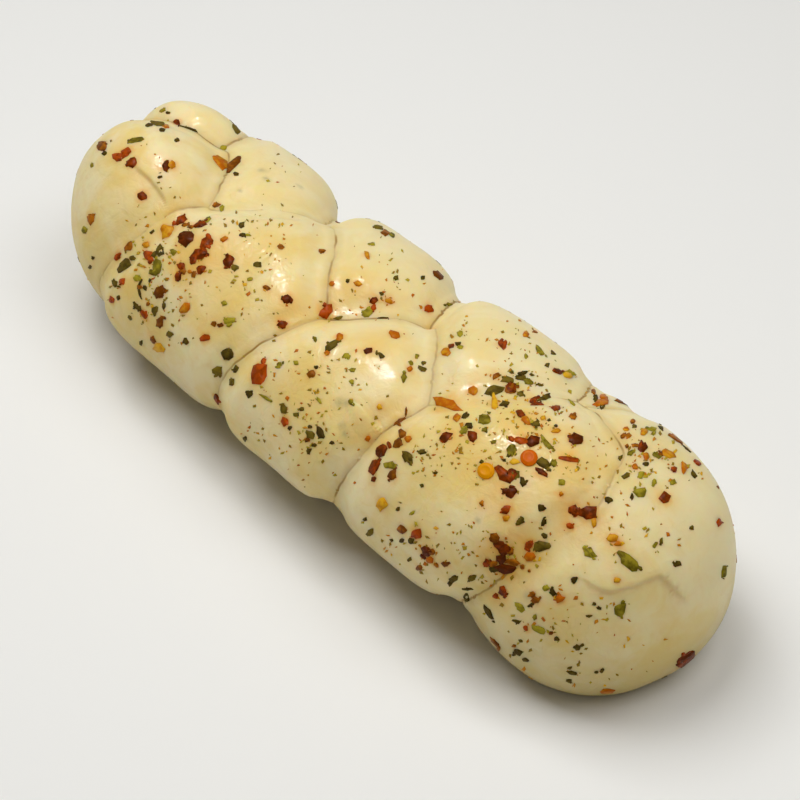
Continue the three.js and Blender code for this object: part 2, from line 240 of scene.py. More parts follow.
GREEN_HERBS = table(
    Bit,
    (84, 230, 6, 4, 90, 0.6), (724, 571, 12, 4, 80, 0.2), (590, 553, 13, 10, -50, 0.5),
    (665, 677, 8, 5, 40, 0.4), (208, 219, 7, 4, 30, 0.5), (173, 252, 6, 5, -40, 0.6),
    (157, 268, 16, 7, 85, 0.45), (136, 278, 7, 5, 0, 0.8), (224, 303, 5, 5, 0, 0.7),
    (230, 321, 11, 6, 5, 1.0), (250, 279, 4, 3, 0, 0.6), (248, 235, 5, 1.5, 0, 0.9),
    (485, 419, 11, 10, 0, 0.35), (485, 430, 5, 5, 0, 0.3), (464, 430, 8, 6, 50, 0.5),
    (493, 442, 5, 3, 0, 0.4), (547, 443, 18, 5, -48, 0.45), (554, 463, 6, 6, -40, 0.4),
    (512, 450, 11, 9, 80, 0.45), (562, 482, 5, 5, 0, 0.7), (572, 403, 9, 2, -50, 0.8),
    (546, 588, 6, 5, 0, 0.8), (520, 608, 13, 6, -35, 0.75), (621, 610, 12, 12, 20, 0.35),
    (535, 617, 5, 4, 80, 0.5), (538, 629, 13, 6, -30, 0.6), (652, 429, 8, 3, -5, 0.8),
    (654, 433, 5, 4, 0, 0.6), (631, 453, 7, 4, 30, 0.5), (641, 475, 6, 5, 80, 0.9),
    (654, 483, 6, 4, 80, 0.7), (673, 482, 5, 4, 20, 0.4), (640, 492, 12, 9, -10, 0.6),
    (717, 482, 9, 4, -75, 0.3), (628, 560, 24, 12, -38, 0.3), (590, 553, 12, 6, -50, 0.8),
    (657, 455, 8, 4, -30, 0.4), (655, 545, 6, 2.5, 60, 0.6), (135, 140, 15, 4, 15, 0.3),
    (163, 110, 6, 2, 30, 0.5), (223, 148, 6, 5, 0, 0.9), (85, 230, 5, 3, 80, 0.3),
    (92, 165, 4, 2, 80, 0.6), (222, 208, 5, 4, 60, 0.9), (315, 339, 5, 4, 80, 0.5),
    (280, 364, 7, 5, 80, 0.5), (296, 363, 4, 3, 0, 0.6), (266, 398, 14, 2, -35, 0.5),
    (319, 400, 7, 3, -60, 0.8), (346, 356, 7, 4, 20, 0.9), (352, 370, 6, 3, 0, 0.5),
    (352, 382, 5, 4, 0, 0.9), (417, 356, 4, 3, 80, 0.6), (411, 363, 4, 4, 0, 0.4),
    (404, 378, 10, 5, -80, 0.5), (368, 313, 11, 8, 35, 0.7), (372, 244, 7, 2, -5, 0.6),
    (392, 235, 7, 4, -25, 0.3), (460, 334, 5, 5, 0, 1.0), (460, 347, 5, 3, 0, 0.9),
    (449, 305, 6, 5, 0, 0.2), (390, 465, 11, 8, 10, 0.6), (352, 403, 5, 4, 0, 0.4),
    (412, 513, 5, 3, 10, 0.9), (540, 351, 12, 4, -45, 0.5), (526, 356, 4, 3, 90, 0.7),
    (529, 382, 9, 7, -40, 0.5), (568, 373, 12, 6, -15, 0.8), (535, 327, 4, 3, 0, 0.5),
)

BROWN_BITS = table(
    Bit,
    (91, 219, 11, 5, 80, 0.5), (281, 247, 6, 4, 0, 0.4), (322, 251, 6, 4, 0, 0.4),
    (267, 288, 6, 4, 0, 0.3), (186, 225, 7, 3, 15, 0.3), (191, 227, 6, 2, -5, 0.3),
    (129, 247, 10, 5, 50, 0.4), (183, 271, 6, 5, -60, 0.3), (194, 274, 6, 4, 60, 0.4),
    (190, 272, 4, 3, 0, 0.8), (159, 291, 14, 9, 70, 0.0), (221, 325, 6, 3, 20, 0.1),
    (214, 324, 5, 4, 0, 0.2), (160, 322, 11, 6, 85, 0.15), (148, 304, 3, 3, 0, 0.5),
    (153, 340, 6, 3, -60, 0.3), (511, 389, 10, 9, 0, 0.3), (573, 416, 7, 6, 0, 0.6),
    (482, 504, 6, 4, 90, 0.5), (140, 287, 4, 3, 0, 0.3), (495, 538, 10, 9, 0, 0.2),
    (510, 552, 8, 5, 80, 0.3), (513, 562, 15, 6, -5, 0.5), (493, 564, 8, 4, 0, 0.4),
    (522, 567, 4, 3, 80, 0.2), (529, 571, 2, 2, 0, 0.2), (532, 594, 6, 5, 80, 0.4),
    (535, 600, 8, 6, 20, 0.4), (495, 643, 14, 4, -45, 0.3), (514, 646, 3, 2, 0, 0.4),
    (551, 633, 3, 2, 0, 0.3), (622, 402, 19, 5, -3, 0.15), (634, 406, 12, 4, -12, 0.15),
    (633, 421, 4, 4, 0, 0.4), (623, 436, 7, 3, 40, 0.4), (628, 436, 6, 5, 0, 0.8),
    (635, 445, 6, 3, -10, 0.4), (627, 446, 3, 3, 0, 0.3), (676, 439, 15, 4, -40, 0.35),
    (662, 454, 6, 4, -20, 0.2), (718, 487, 3, 3, 0, 0.3), (102, 146, 9, 8, 0, 0.3),
    (108, 128, 10, 2.5, 45, 0.3), (90, 219, 9, 6, 80, 0.5), (234, 163, 16, 6, 35, 0.1),
    (216, 205, 8, 3, 15, 0.4), (311, 374, 7, 7, 0, 0.5), (307, 440, 5, 4, 0, 0.3),
    (386, 233, 9, 5, -20, 0.4), (439, 275, 12, 5, -40, 0.0), (398, 443, 11, 8, 30, 0.2),
    (402, 434, 7, 6, 80, 0.3), (399, 422, 11, 6, 45, 0.25), (406, 412, 9, 1.4, 85, 0.1),
    (393, 476, 11, 9, 50, 0.1), (402, 530, 8, 6, -35, 0.3), (432, 552, 5, 5, 0, 0.3),
    (436, 565, 5, 3, -40, 0.4), (446, 564, 8, 5, 0, 0.2), (419, 568, 5, 4, 0, 0.4),
    (496, 376, 9, 4, 20, 0.4), (535, 332, 5, 2, 0, 0.5), (594, 392, 6, 4, 80, 0.4),
)

STAINING = CHILLI_FLAKES + PEPPER_SLIVERS + ROUND_SEEDS + BROWN_BITS

# Folds in the skin: the pixels that each runs through, how far the skin on its right is raised in
# millimetres, how far that reaches and how deep the line itself is.
Fold = namedtuple("Fold", "points rise reach groove")
FOLDS = [
    Fold(((131, 164), (147, 177), (158, 190), (165, 201), (167, 210)), -0.6, 4.0, 0.07),
    Fold(
        ((694, 610), (672, 588), (659, 574), (640, 583), (608, 592), (590, 584), (572, 572)),
        0.85, 6.0, 0.03,
    ),
    Fold(((345, 402), (358, 401), (370, 412), (376, 424), (386, 433)), 0.9, 3.5, 0.16),
    Fold(((556, 408), (575, 407), (596, 411), (611, 423)), 0.2, 2.0, 0.12),
    Fold(((556, 476), (580, 484), (600, 482)), 0.3, 2.5, 0.06),
]

# Soft round places, each with its middle and its reach in pixels. Where neighbouring lobes run into
# each other the crease between them fades, oil has spread in the skin, and specks lie under it.
Blot = namedtuple("Blot", "px py reach")
SOFT_CREASES = table(
    Blot,
    (458, 402, 26), (500, 398, 34), (545, 400, 26), (590, 520, 22), (560, 540, 26), (528, 560, 24),
    (275, 212, 34), (235, 208, 16), (160, 232, 30), (128, 256, 24),
)
WARM_PATCHES = table(
    Blot,
    (192, 246, 24), (222, 258, 26), (246, 262, 18), (130, 285, 18), (158, 330, 24), (293, 310, 24),
    (330, 316, 18), (400, 440, 22), (460, 440, 26), (446, 404, 18), (520, 436, 24), (508, 560, 26),
    (530, 550, 20), (606, 408, 18), (620, 440, 24), (690, 440, 16), (712, 475, 14), (664, 498, 12),
    (500, 600, 22), (262, 242, 30), (370, 348, 34), (352, 284, 24), (230, 300, 30), (300, 400, 36),
    (664, 440, 30), (200, 122, 16), (476, 466, 22), (524, 420, 24), (566, 466, 28), (610, 466, 22),
    (656, 420, 18), (302, 376, 18),
)
SUNKEN_SPECKS = table(
    Blot,
    (262, 170, 4), (266, 178, 3), (339, 403, 5), (346, 403, 4), (342, 426, 4), (345, 434, 4),
    (527, 596, 5), (718, 522, 4), (300, 186, 3), (240, 190, 2), (478, 520, 3), (438, 524, 2),
)

# Patches of fine dust: middle, reach across and down in pixels, and how many grains.
Patch = namedtuple("Patch", "px py across down count")
DUST_PATCHES = table(
    Patch,
    (150, 150, 60, 50, 16), (130, 230, 50, 60, 12), (270, 180, 40, 28, 14), (262, 222, 55, 12, 24),
    (165, 255, 45, 42, 69), (160, 310, 40, 45, 66), (255, 285, 50, 45, 45), (390, 280, 60, 45, 45),
    (350, 310, 55, 12, 21), (320, 390, 75, 60, 105), (300, 440, 60, 45, 60), (500, 345, 60, 35, 45),
    (520, 395, 60, 30, 75), (520, 440, 60, 40, 105), (435, 450, 40, 40, 69), (430, 545, 70, 36, 90),
    (502, 562, 36, 26, 36), (650, 455, 60, 50, 105), (610, 540, 80, 60, 51), (560, 640, 80, 50, 81),
    (566, 462, 36, 26, 30), (478, 466, 30, 30, 20), (520, 420, 50, 26, 15), (258, 240, 50, 22, 20),
)


# Shapes

LOBE_MESH = (104, 136)  # points round each lobe, and rows from tip to tip
END_MESH = (132, 92)  # the same for the rounded ends
WELD_WIDTH = 0.16  # points closer than this are merged, in millimetres
FILL_START = 0.3  # share of a crease's reach up to which it is filled in full
SOFT_FILL = (0.6, 1.6)  # the same where the crease is soft, and where the filling ends
FILL_MARGIN = 1.5  # how far from a crease the skin is smoothed for it, in reaches
FILL_ROUNDS = 60  # rounds of smoothing that give the filling its shape
SOFT_FILL_ROUNDS = 240
CREASE_SAMPLES = 6  # places along each crease edge from which distances are measured
WAVE_COUNT = 9  # long waves in an uneven surface


def power(value, exponent):
    return np.sign(value) * np.abs(value) ** exponent


def lerp(low, high, share):
    return low + (high - low) * share


def smoothstep(low, high, value):
    share = np.clip((value - low) / (high - low), 0.0, 1.0)
    return share * share * (3.0 - 2.0 * share)


def dip(limits, turn):
    start, end, depth = limits
    return depth * smoothstep(start, end, turn)


def point_vectors(mesh, kind):
    flat = np.empty(len(mesh.vertices) * 3)
    mesh.vertices.foreach_get(kind, flat)
    return flat.reshape(-1, 3)


def positions(mesh):
    return point_vectors(mesh, "co")


def normals(mesh):
    return point_vectors(mesh, "normal")


def set_positions(mesh, places):
    mesh.vertices.foreach_set("co", np.ascontiguousarray(places, dtype=np.float32).ravel())
    mesh.update()


def move_towards(mesh, targets, share):
    places = positions(mesh)
    set_positions(mesh, places + (targets - places) * share[:, None])


def new_object(name, data):
    made = bpy.data.objects.new(name, data)
    bpy.context.scene.collection.objects.link(made)
    return made


def mesh_from(bm, name):
    mesh = bpy.data.meshes.new(name)
    bm.to_mesh(mesh)
    bm.free()
    return mesh


@contextmanager
def edited(mesh):
    """Opens a mesh as a bmesh, and puts it back once it has been edited."""
    bm = bmesh.new()
    bm.from_mesh(mesh)
    yield bm
    bm.to_mesh(mesh)
    bm.free()


def shaped_sphere(name, around, rows, place):
    """A ball whose points are moved by place, which gets each one's share of the way down and angle."""
    bm = bmesh.new()
    bmesh.ops.create_uvsphere(bm, u_segments=around, v_segments=rows, radius=1.0)
    mesh = mesh_from(bm, name)
    unit = positions(mesh)
    share = np.arccos(np.clip(unit[:, 2], -1.0, 1.0)) / np.pi
    angle = np.arctan2(unit[:, 1], unit[:, 0])
    set_positions(mesh, (place(share, angle) + CENTRING) * MM)
    return new_object(name, mesh)


def strand_lobe(share, angle, side, x, reach, rise, wide, thick, lean, over=0.0, flare=0.0):
    """A flattened tube that comes up the plait's side and over its crown, leaning to the near end."""
    along = (x - FAR_X) / (NEAR_X - FAR_X)
    half_height = lerp(*HALF_HEIGHT, along)
    thickness = STRAND_HALF_THICKNESS * thick
    loop_y = lerp(*HALF_WIDTH, along) * reach - thickness
    loop_z = half_height * rise - thickness

    def centre(turn):
        radians = np.radians(turn)
        pull = 1.0 - dip(CROWN_DIP, turn) - dip(UNDER_DIP, -turn)
        out = side * loop_y * power(np.cos(radians), LOOP_ROUNDNESS) * pull
        up = half_height - SQUASH + loop_z * power(np.sin(radians), LOOP_ROUNDNESS) * pull
        return np.stack([x + LEAN * lean * radians, out, up], axis=1)

    turn = lerp(UNDER_TURN, OVER_TURN + over, share)
    radians = np.radians(turn)
    heading = centre(turn + HEADING_STEP) - centre(turn - HEADING_STEP)
    heading /= np.linalg.norm(heading, axis=1, keepdims=True)
    outward = np.stack([0 * radians, side * np.cos(radians) / loop_y, np.sin(radians) / loop_z], axis=1)
    outward -= (outward * heading).sum(axis=1, keepdims=True) * heading
    outward /= np.linalg.norm(outward, axis=1, keepdims=True)
    across = np.cross(heading, outward)
    tip = np.minimum(1.0, np.minimum(share, 1.0 - share) / TIP_SHARE)
    fullness = np.sqrt(1.0 - (1.0 - tip) ** 2)
    half_width = STRAND_HALF_WIDTH * wide * (1.0 + flare * (2.0 * share - 1.0))
    width = half_width * fullness * power(np.cos(angle), SECTION_ROUNDNESS)
    height = thickness * fullness * power(np.sin(angle), SECTION_ROUNDNESS)
    return centre(turn) + width[:, None] * across + height[:, None] * outward


def rounded_end(share, angle, at, radii, yaw, pitch, roundness):
    """A ball stretched to three radii, tipped by its pitch and turned by its yaw."""
    level = power(np.sin(share * np.pi), roundness)
    x = radii[0] * level * power(np.cos(angle), roundness)
    y = radii[1] * level * power(np.sin(angle), roundness)
    z = radii[2] * power(np.cos(share * np.pi), roundness)
    tip, swing = np.radians(pitch), np.radians(yaw)
    forward = x * np.cos(tip) + z * np.sin(tip)
    upward = z * np.cos(tip) - x * np.sin(tip)
    ahead = forward * np.cos(swing) - y * np.sin(swing)
    aside = forward * np.sin(swing) + y * np.cos(swing)
    return np.stack([ahead, aside, upward], axis=1) + at


def joined(pieces, name):
    """One solid from several, without the hollows that joining them seals."""
    parts = bpy.data.collections.new(name + "_parts")
    bpy.context.scene.collection.children.link(parts)
    for index, piece in enumerate(pieces):
        source = piece.data.attributes.new("source", "INT", "FACE")
        source.data.foreach_set("value", np.full(len(piece.data.polygons), index, dtype=np.int32))
        if index:
            parts.objects.link(piece)
    union = pieces[0].modifiers.new("Union", "BOOLEAN")
    union.operation = "UNION"
    union.operand_type = "COLLECTION"
    union.collection = parts
    union.solver = "MANIFOLD"
    shown = pieces[0].evaluated_get(bpy.context.evaluated_depsgraph_get())
    mesh = bpy.data.meshes.new_from_object(shown)
    mesh.name = name
    mesh.materials.clear()
    for piece in pieces:
        bpy.data.objects.remove(piece)
    bpy.data.collections.remove(parts)
    return new_object(name, mesh)


def largest_shell(mesh):
    """Drops the small closed shells that joining leaves inside the solid."""
    with edited(mesh) as bm:
        start = max(bm.verts, key=lambda vert: vert.co.x)
        kept = {start}
        edge_of_search = [start]
        while edge_of_search:
            vert = edge_of_search.pop()
            for edge in vert.link_edges:
                other = edge.other_vert(vert)
                if other not in kept:
                    kept.add(other)
                    edge_of_search.append(other)
        loose = [vert for vert in bm.verts if vert not in kept]
        bmesh.ops.delete(bm, geom=loose, context="VERTS")


def crease_edges(mesh):
    """The edges where one lobe meets the next, as pairs of points."""
    source = np.empty(len(mesh.polygons), dtype=np.int32)
    mesh.attributes["source"].data.foreach_get("value", source)
    corner_edge = np.empty(len(mesh.loops), dtype=np.int32)
    mesh.loops.foreach_get("edge_index", corner_edge)
    sides = np.empty(len(mesh.polygons), dtype=np.int32)
    mesh.polygons.foreach_get("loop_total", sides)
    corner_source = np.repeat(source, sides)
    lowest = np.full(len(mesh.edges), len(mesh.polygons))
    highest = np.full(len(mesh.edges), -1)
    np.minimum.at(lowest, corner_edge, corner_source)
    np.maximum.at(highest, corner_edge, corner_source)
    ends = np.empty(len(mesh.edges) * 2, dtype=np.int32)
    mesh.edges.foreach_get("vertices", ends)
    return ends.reshape(-1, 2)[lowest != highest]


def smoothed(mesh, chosen, rounds):
    """The points of the mesh once the chosen ones are smoothed."""
    bm = bmesh.new()
    bm.from_mesh(mesh)
    bm.verts.ensure_lookup_table()
    verts = [bm.verts[index] for index in np.flatnonzero(chosen)]
    every_way = dict(use_axis_x=True, use_axis_y=True, use_axis_z=True)
    for _ in range(rounds):
        bmesh.ops.smooth_vert(bm, verts=verts, factor=0.5, **every_way)
    soft = np.array([vert.co for vert in bm.verts])
    bm.free()
    return soft


def smooth_creases(mesh, rounds):
    """Smooths each crease along its own length."""
    starts, ends = crease_edges(mesh).T
    places = positions(mesh)
    moving = np.bincount(np.concatenate([starts, ends]), minlength=len(places)) == 2
    for _ in range(rounds):
        neighbours = np.zeros_like(places)
        np.add.at(neighbours, starts, places[ends])
        np.add.at(neighbours, ends, places[starts])
        places[moving] = 0.5 * places[moving] + 0.25 * neighbours[moving]
    set_positions(mesh, places)


def fill_creases(mesh, softness, reach):
    """Partly fills the valleys between the lobes, and wholly where the creases are soft."""
    away = crease_distance(mesh)
    share = 1.0 - smoothstep(FILL_START * reach, reach, away)
    move_towards(mesh, smoothed(mesh, away < FILL_MARGIN * reach, FILL_ROUNDS), share)
    wide_share = softness * (1.0 - smoothstep(SOFT_FILL[0] * reach, SOFT_FILL[1] * reach, away))
    move_towards(mesh, smoothed(mesh, wide_share > 0.01, SOFT_FILL_ROUNDS), wide_share)


def refine(mesh, near):
    """Halves the edges that run between near points."""
    with edited(mesh) as bm:
        bmesh.ops.triangulate(bm, faces=bm.faces)
        edges = [edge for edge in bm.edges if near[edge.verts[0].index] and near[edge.verts[1].index]]
        bmesh.ops.subdivide_edges(bm, edges=edges, cuts=1, use_grid_fill=True)


def weld_slivers(mesh, width):
    """Merges points that lie closer than width, which leaves no sliver along the creases."""
    with edited(mesh) as bm:
        bmesh.ops.remove_doubles(bm, verts=bm.verts, dist=width)


def crease_distance(mesh):
    """How far each point is from the nearest crease."""
    places = positions(mesh)
    starts, ends = (places[side] for side in crease_edges(mesh).T)
    shares = [sample / CREASE_SAMPLES for sample in range(CREASE_SAMPLES)]
    return nearest_distance(places, np.concatenate([lerp(starts, ends, share) for share in shares]))


def nearest_distance(points, targets):
    """How far each point is from the nearest target."""
    tree = KDTree(len(targets))
    for index, target in enumerate(targets):
        tree.insert(target, index)
    tree.balance()
    return np.array([tree.find(point)[2] for point in points])


def set_point_attribute(mesh, name, values):
    layer = mesh.attributes.get(name) or mesh.attributes.new(name, "FLOAT", "POINT")
    layer.data.foreach_set("value", np.ascontiguousarray(values, dtype=np.float32))


def point_attribute(mesh, name):
    values = np.empty(len(mesh.vertices), dtype=np.float32)
    mesh.attributes[name].data.foreach_get("value", values)
    return values


def waves(points, length, seed):
    """A soft unevenness between about -1 and 1, from a few long waves that cross each other."""
    rng = np.random.default_rng(seed)
    total = np.zeros(len(points))
    for _ in range(WAVE_COUNT):
        direction = rng.normal(size=3)
        direction *= rng.uniform(0.6, 1.6) / np.linalg.norm(direction)
        total += np.sin(points @ direction * (2.0 * np.pi / length) + rng.uniform(0.0, 2.0 * np.pi))
    return total / (WAVE_COUNT / 2.0)


# Places on the cheese


def camera_axes():
    swing, lift = np.radians(AZIMUTH), np.radians(ELEVATION)
    back = np.array([np.sin(swing) * np.cos(lift), -np.cos(swing) * np.cos(lift), np.sin(lift)])
    right = np.array([np.cos(swing), np.sin(swing), 0.0])
    return right, np.cross(back, right), back


def camera_place():
    return (np.array(AIM) + CAMERA_DISTANCE * camera_axes()[2]) * MM


def sight(px, py):
    """The direction in which the camera sees a pixel."""
    right, up, back = camera_axes()
    middle = PICTURE / 2.0
    along = right * (px - middle) / PICTURE_DISTANCE - up * (py - middle) / PICTURE_DISTANCE - back
    return along / np.linalg.norm(along)


# A place on the cheese, its normal, a flake's two directions there and the size of a pixel.
Spot = namedtuple("Spot", "place normal along across pixel")
GRAZING = 0.03  # skin turned further from the camera than this doesn't show
LEAST_FACING = 0.3  # how far a flake may be stretched on skin that turns away
CLEARANCE = 0.5  # how far off the skin a line of sight starts, in millimetres
FAR_OUT = 100.0  # further from the plait's axis than any skin, in millimetres


class Skin:
    """The cheese's surface, on which everything else is laid."""

    def __init__(self, cheese):
        mesh = cheese.data
        faces = [tuple(face.vertices) for face in mesh.polygons]
        self.tree = BVHTree.FromPolygons([vert.co for vert in mesh.vertices], faces)
        self.eye = Vector(camera_place())

    def under_pixel(self, px, py):
        place, normal, _, _ = self.tree.ray_cast(self.eye, Vector(sight(px, py)))
        return place, normal

    def shows(self, place, normal):
        """Whether the camera sees this place."""
        to_eye = (self.eye - place).normalized()
        if normal.dot(to_eye) < GRAZING:
            return False
        hit = self.tree.ray_cast(place + to_eye * (CLEARANCE * MM), to_eye)
        return hit[0] is None

    def outside(self, x, turn):
        """The place that is met on the way in towards the plait's axis, at x and a turn round it."""
        way_out = Vector((0.0, -np.cos(turn), np.sin(turn)))
        axis = Vector((x * MM, 0.0, HALF_HEIGHT[0] * MM))
        place, normal, _, _ = self.tree.ray_cast(axis + way_out * (FAR_OUT * MM), -way_out)
        return place, normal

    def spot_under_pixel(self, px, py, slant):
        """A place seen by the camera, with the two directions that look level and upright at this slant."""
        place, normal = self.under_pixel(px, py)
        if place is None:
            return None
        right, up, _ = camera_axes()
        seen = (self.eye - place).normalized()
        facing = max(seen.dot(normal), LEAST_FACING)
        turned = np.radians(slant)
        ways = []
        for level, upright in ((np.cos(turned), np.sin(turned)), (-np.sin(turned), np.cos(turned))):
            way = Vector(right * level + up * upright)
            way -= seen * (way.dot(normal) / facing)
            way -= normal * way.dot(normal)
            ways.append(way)
        pixel = (self.eye - place).length / PICTURE_DISTANCE
        return Spot(place, normal, ways[0], ways[1], pixel)

    def blots(self, places, blots):
        """How much each place lies in any of the soft round blots, from 0 to 1."""
        clear = np.ones(len(places))
        for blot in blots:
            middle, _ = self.under_pixel(blot.px, blot.py)
            if middle is None:
                continue
            reach = blot.reach * (self.eye - middle).length / PICTURE_DISTANCE
            away = np.linalg.norm(places - np.array(middle), axis=1)
            clear *= 1.0 - np.exp(-((away / reach) ** 2))
        return 1.0 - clear

    def spot_outside(self, x, turn, slant):
        place, normal = self.outside(x, turn)
        if place is None:
            return None
        level = normal.cross(Vector((0.0, 0.0, 1.0)) if abs(normal.z) < 0.9 else Vector((0.0, 1.0, 0.0)))
        level.normalize()
        upright = normal.cross(level)
        along = level * np.cos(slant) + upright * np.sin(slant)
        return Spot(place, normal, along, normal.cross(along), CAMERA_DISTANCE * MM / PICTURE_DISTANCE)


FOLD_STEP = 0.5  # from point to point along a fold, in millimetres
FOLD_SOFTENING = 3.0  # how far each fold's corners are rounded, in millimetres
FOLD_FINENESS = (1.4, 0.7)  # how near to a fold the skin is refined, round by round, in millimetres
FOLD_SIDE = (-0.6, 0.5)  # across a fold, from its low side to its raised side, in millimetres
FOLD_FADE = 0.25  # share of its length over which a fold fades at each end
FOLD_MARGIN = 3.0  # how far round a fold it is worked out, in its reaches
GROOVE_WIDTH = 0.5  # of the line along a fold, in millimetres


def along_line(knots, step):
    """Points a step apart on a smooth line through the knots."""
    knots = np.array(knots)
    lengths = np.concatenate([[0.0], np.cumsum(np.linalg.norm(np.diff(knots, axis=0), axis=1))])
    wanted = np.linspace(0.0, lengths[-1], max(int(lengths[-1] / step), 4))
    line = np.stack([np.interp(wanted, lengths, knots[:, axis]) for axis in range(3)], axis=1)
    for _ in range(int(FOLD_SOFTENING * MM / step)):
        line[1:-1] = (line[:-2] + 2.0 * line[1:-1] + line[2:]) / 4.0
    return line


def fold_skin(cheese, folds):
    """Raises the skin on one side of each fold, draws in a line along it and gives back its depth."""
    mesh = cheese.data
    skin = Skin(cheese)
    met = [[skin.under_pixel(px, py) for px, py in fold.points] for fold in folds]
    lines = [along_line([place for place, _ in row], FOLD_STEP * MM) for row in met]
    for near in FOLD_FINENESS:
        refine(mesh, nearest_distance(positions(mesh), np.concatenate(lines)) < near * MM)
    places = positions(mesh)
    outward = normals(mesh)
    lift = np.zeros(len(places))
    drawn = np.zeros(len(places))
    for fold, line, row in zip(folds, lines, met):
        normal = np.array(sum((normal for _, normal in row), Vector())) / len(row)
        reach = fold.reach * MM
        margin = FOLD_MARGIN * reach
        box = np.all((places > line.min(axis=0) - margin) & (places < line.max(axis=0) + margin), axis=1)
        index = np.flatnonzero(box & (outward @ normal > 0.2))
        gaps = places[index][:, None, :] - line[None, :, :]
        distances = np.linalg.norm(gaps, axis=2)
        nearest = distances.argmin(axis=1)
        away = distances.min(axis=1)
        way = np.gradient(line, axis=0)[nearest]
        right = (np.cross(way, normal) * gaps[np.arange(len(index)), nearest]).sum(axis=1)
        right /= np.linalg.norm(way, axis=1) * np.maximum(away, 1e-9)
        rest = np.minimum(nearest, len(line) - 1 - nearest) / (FOLD_FADE * len(line))
        fade = smoothstep(0.0, 1.0, rest)
        side = smoothstep(FOLD_SIDE[0] * MM, FOLD_SIDE[1] * MM, right * away)
        raised = fold.rise * MM * side * np.exp(-((away / reach) ** 2))
        depth = fade * np.exp(-((away / (GROOVE_WIDTH * MM)) ** 2))
        lift[index] += fade * raised - fold.groove * MM * depth
        drawn[index] = np.maximum(drawn[index], depth)
    set_positions(mesh, places + outward * lift[:, None])
    return drawn


# Flakes

CORNER_SHIFT = 0.3  # how far a flake's corner may stray round it, in steps from corner to corner


def uneven_outline(rng, cut):
    """The rim of an angular flake: its corners, with a nick or a bulge between each two."""
    corners = []
    for corner in range(cut.corners):
        turn = (corner + rng.uniform(-CORNER_SHIFT, CORNER_SHIFT)) * 2.0 * np.pi / cut.corners
        corners.append(np.array((np.cos(turn), np.sin(turn))) * rng.uniform(1.0 - cut.ragged, 1.0))
    rim = []
    for corner, following in zip(corners, corners[1:] + corners[:1]):
        rim += [corner, (corner + following) / 2.0 * rng.uniform(1.0 - cut.torn, 1.0 + cut.torn)]
    return rim


# How a kind of flake is cut: its corners, how far they and the rim between them are torn, its
# thickness in millimetres, its taper and curl, how much bigger it is than its row in the table says,
# as a share and in pixels, and how many chips may have broken off it.
Cut = namedtuple(
    "Cut", "corners ragged torn thick taper curl growth spread breaks", defaults=(1.15, 1.4, 2)
)
CHIP = Cut(corners=7, ragged=0.4, torn=0.14, thick=0.15, taper=0.08, curl=0.06)
SLIVER = Cut(corners=6, ragged=0.32, torn=0.12, thick=0.2, taper=0.08, curl=0.04, breaks=0)
LEAF = Cut(corners=7, ragged=0.5, torn=0.24, thick=0.12, taper=0.12, curl=0.1)
CRUMB = Cut(corners=6, ragged=0.44, torn=0.18, thick=0.15, taper=0.05, curl=0.05)
GRAIN = Cut(corners=4, ragged=0.4, torn=0.1, thick=0.05, taper=0.0, curl=0.0, breaks=0)
SEED = Cut(
    corners=0, ragged=0.0, torn=0.0, thick=0.75, taper=0.0, curl=0.0, growth=1.0, spread=0.0, breaks=0
)
TOP_SHARE = 0.92  # how wide a flake's top is beside its foot
SINK = 0.35  # how much of its thickness a flake is pressed into the skin
THIN_SHARE = 0.3  # a small flake's thickness, as a share of its width
THIN_LEAST = 0.06  # and what is added to that, in millimetres


def lay_flake(bm, skin, spot, long, wide, cut, tone, rng):
    """Adds one flake to bm, cut to an uneven shape and pressed onto the skin."""
    rim = uneven_outline(rng, cut)
    disc = bmesh.ops.create_cone(
        bm, cap_ends=True, cap_tris=True, segments=len(rim), radius1=1.0, radius2=TOP_SHARE, depth=2.0
    )["verts"]
    plan = []
    for vert in disc:
        turn = np.arctan2(vert.co.y, vert.co.x) / (2.0 * np.pi)
        plan.append(rim[round(turn * len(rim)) % len(rim)] * np.hypot(vert.co.x, vert.co.y))
    plan = np.array(plan) / np.abs(plan).max(axis=0)
    tone_layer = bm.verts.layers.float["tone"]
    thick = min(cut.thick * MM, THIN_SHARE * wide + THIN_LEAST * MM)
    curl_way = rng.uniform(0.0, np.pi)
    for vert, (x, y) in zip(disc, plan):
        y *= 1.0 - cut.taper * abs(x)
        bend = cut.curl * (x * np.cos(curl_way) + y * np.sin(curl_way)) ** 2 * min(long, wide) / 2.0
        height = thick * (1.0 - SINK) * rng.uniform(0.8, 1.2) + bend if vert.co.z > 0.0 else -thick * SINK
        flat = spot.place + spot.along * (x * long / 2.0) + spot.across * (y * wide / 2.0)
        near, normal, _, _ = skin.tree.find_nearest(flat)
        vert.co = near + normal * height
        vert[tone_layer] = tone


# A seed's raised ring and its hollow middle: heights as shares of its thickness, and the ring's
# place and both widths as shares of its radius.
RING_HEIGHT = 0.16
RING_PLACE = 0.62
RING_WIDTH = 0.14
HOLLOW_DEPTH = 0.12
HOLLOW_WIDTH = 0.3


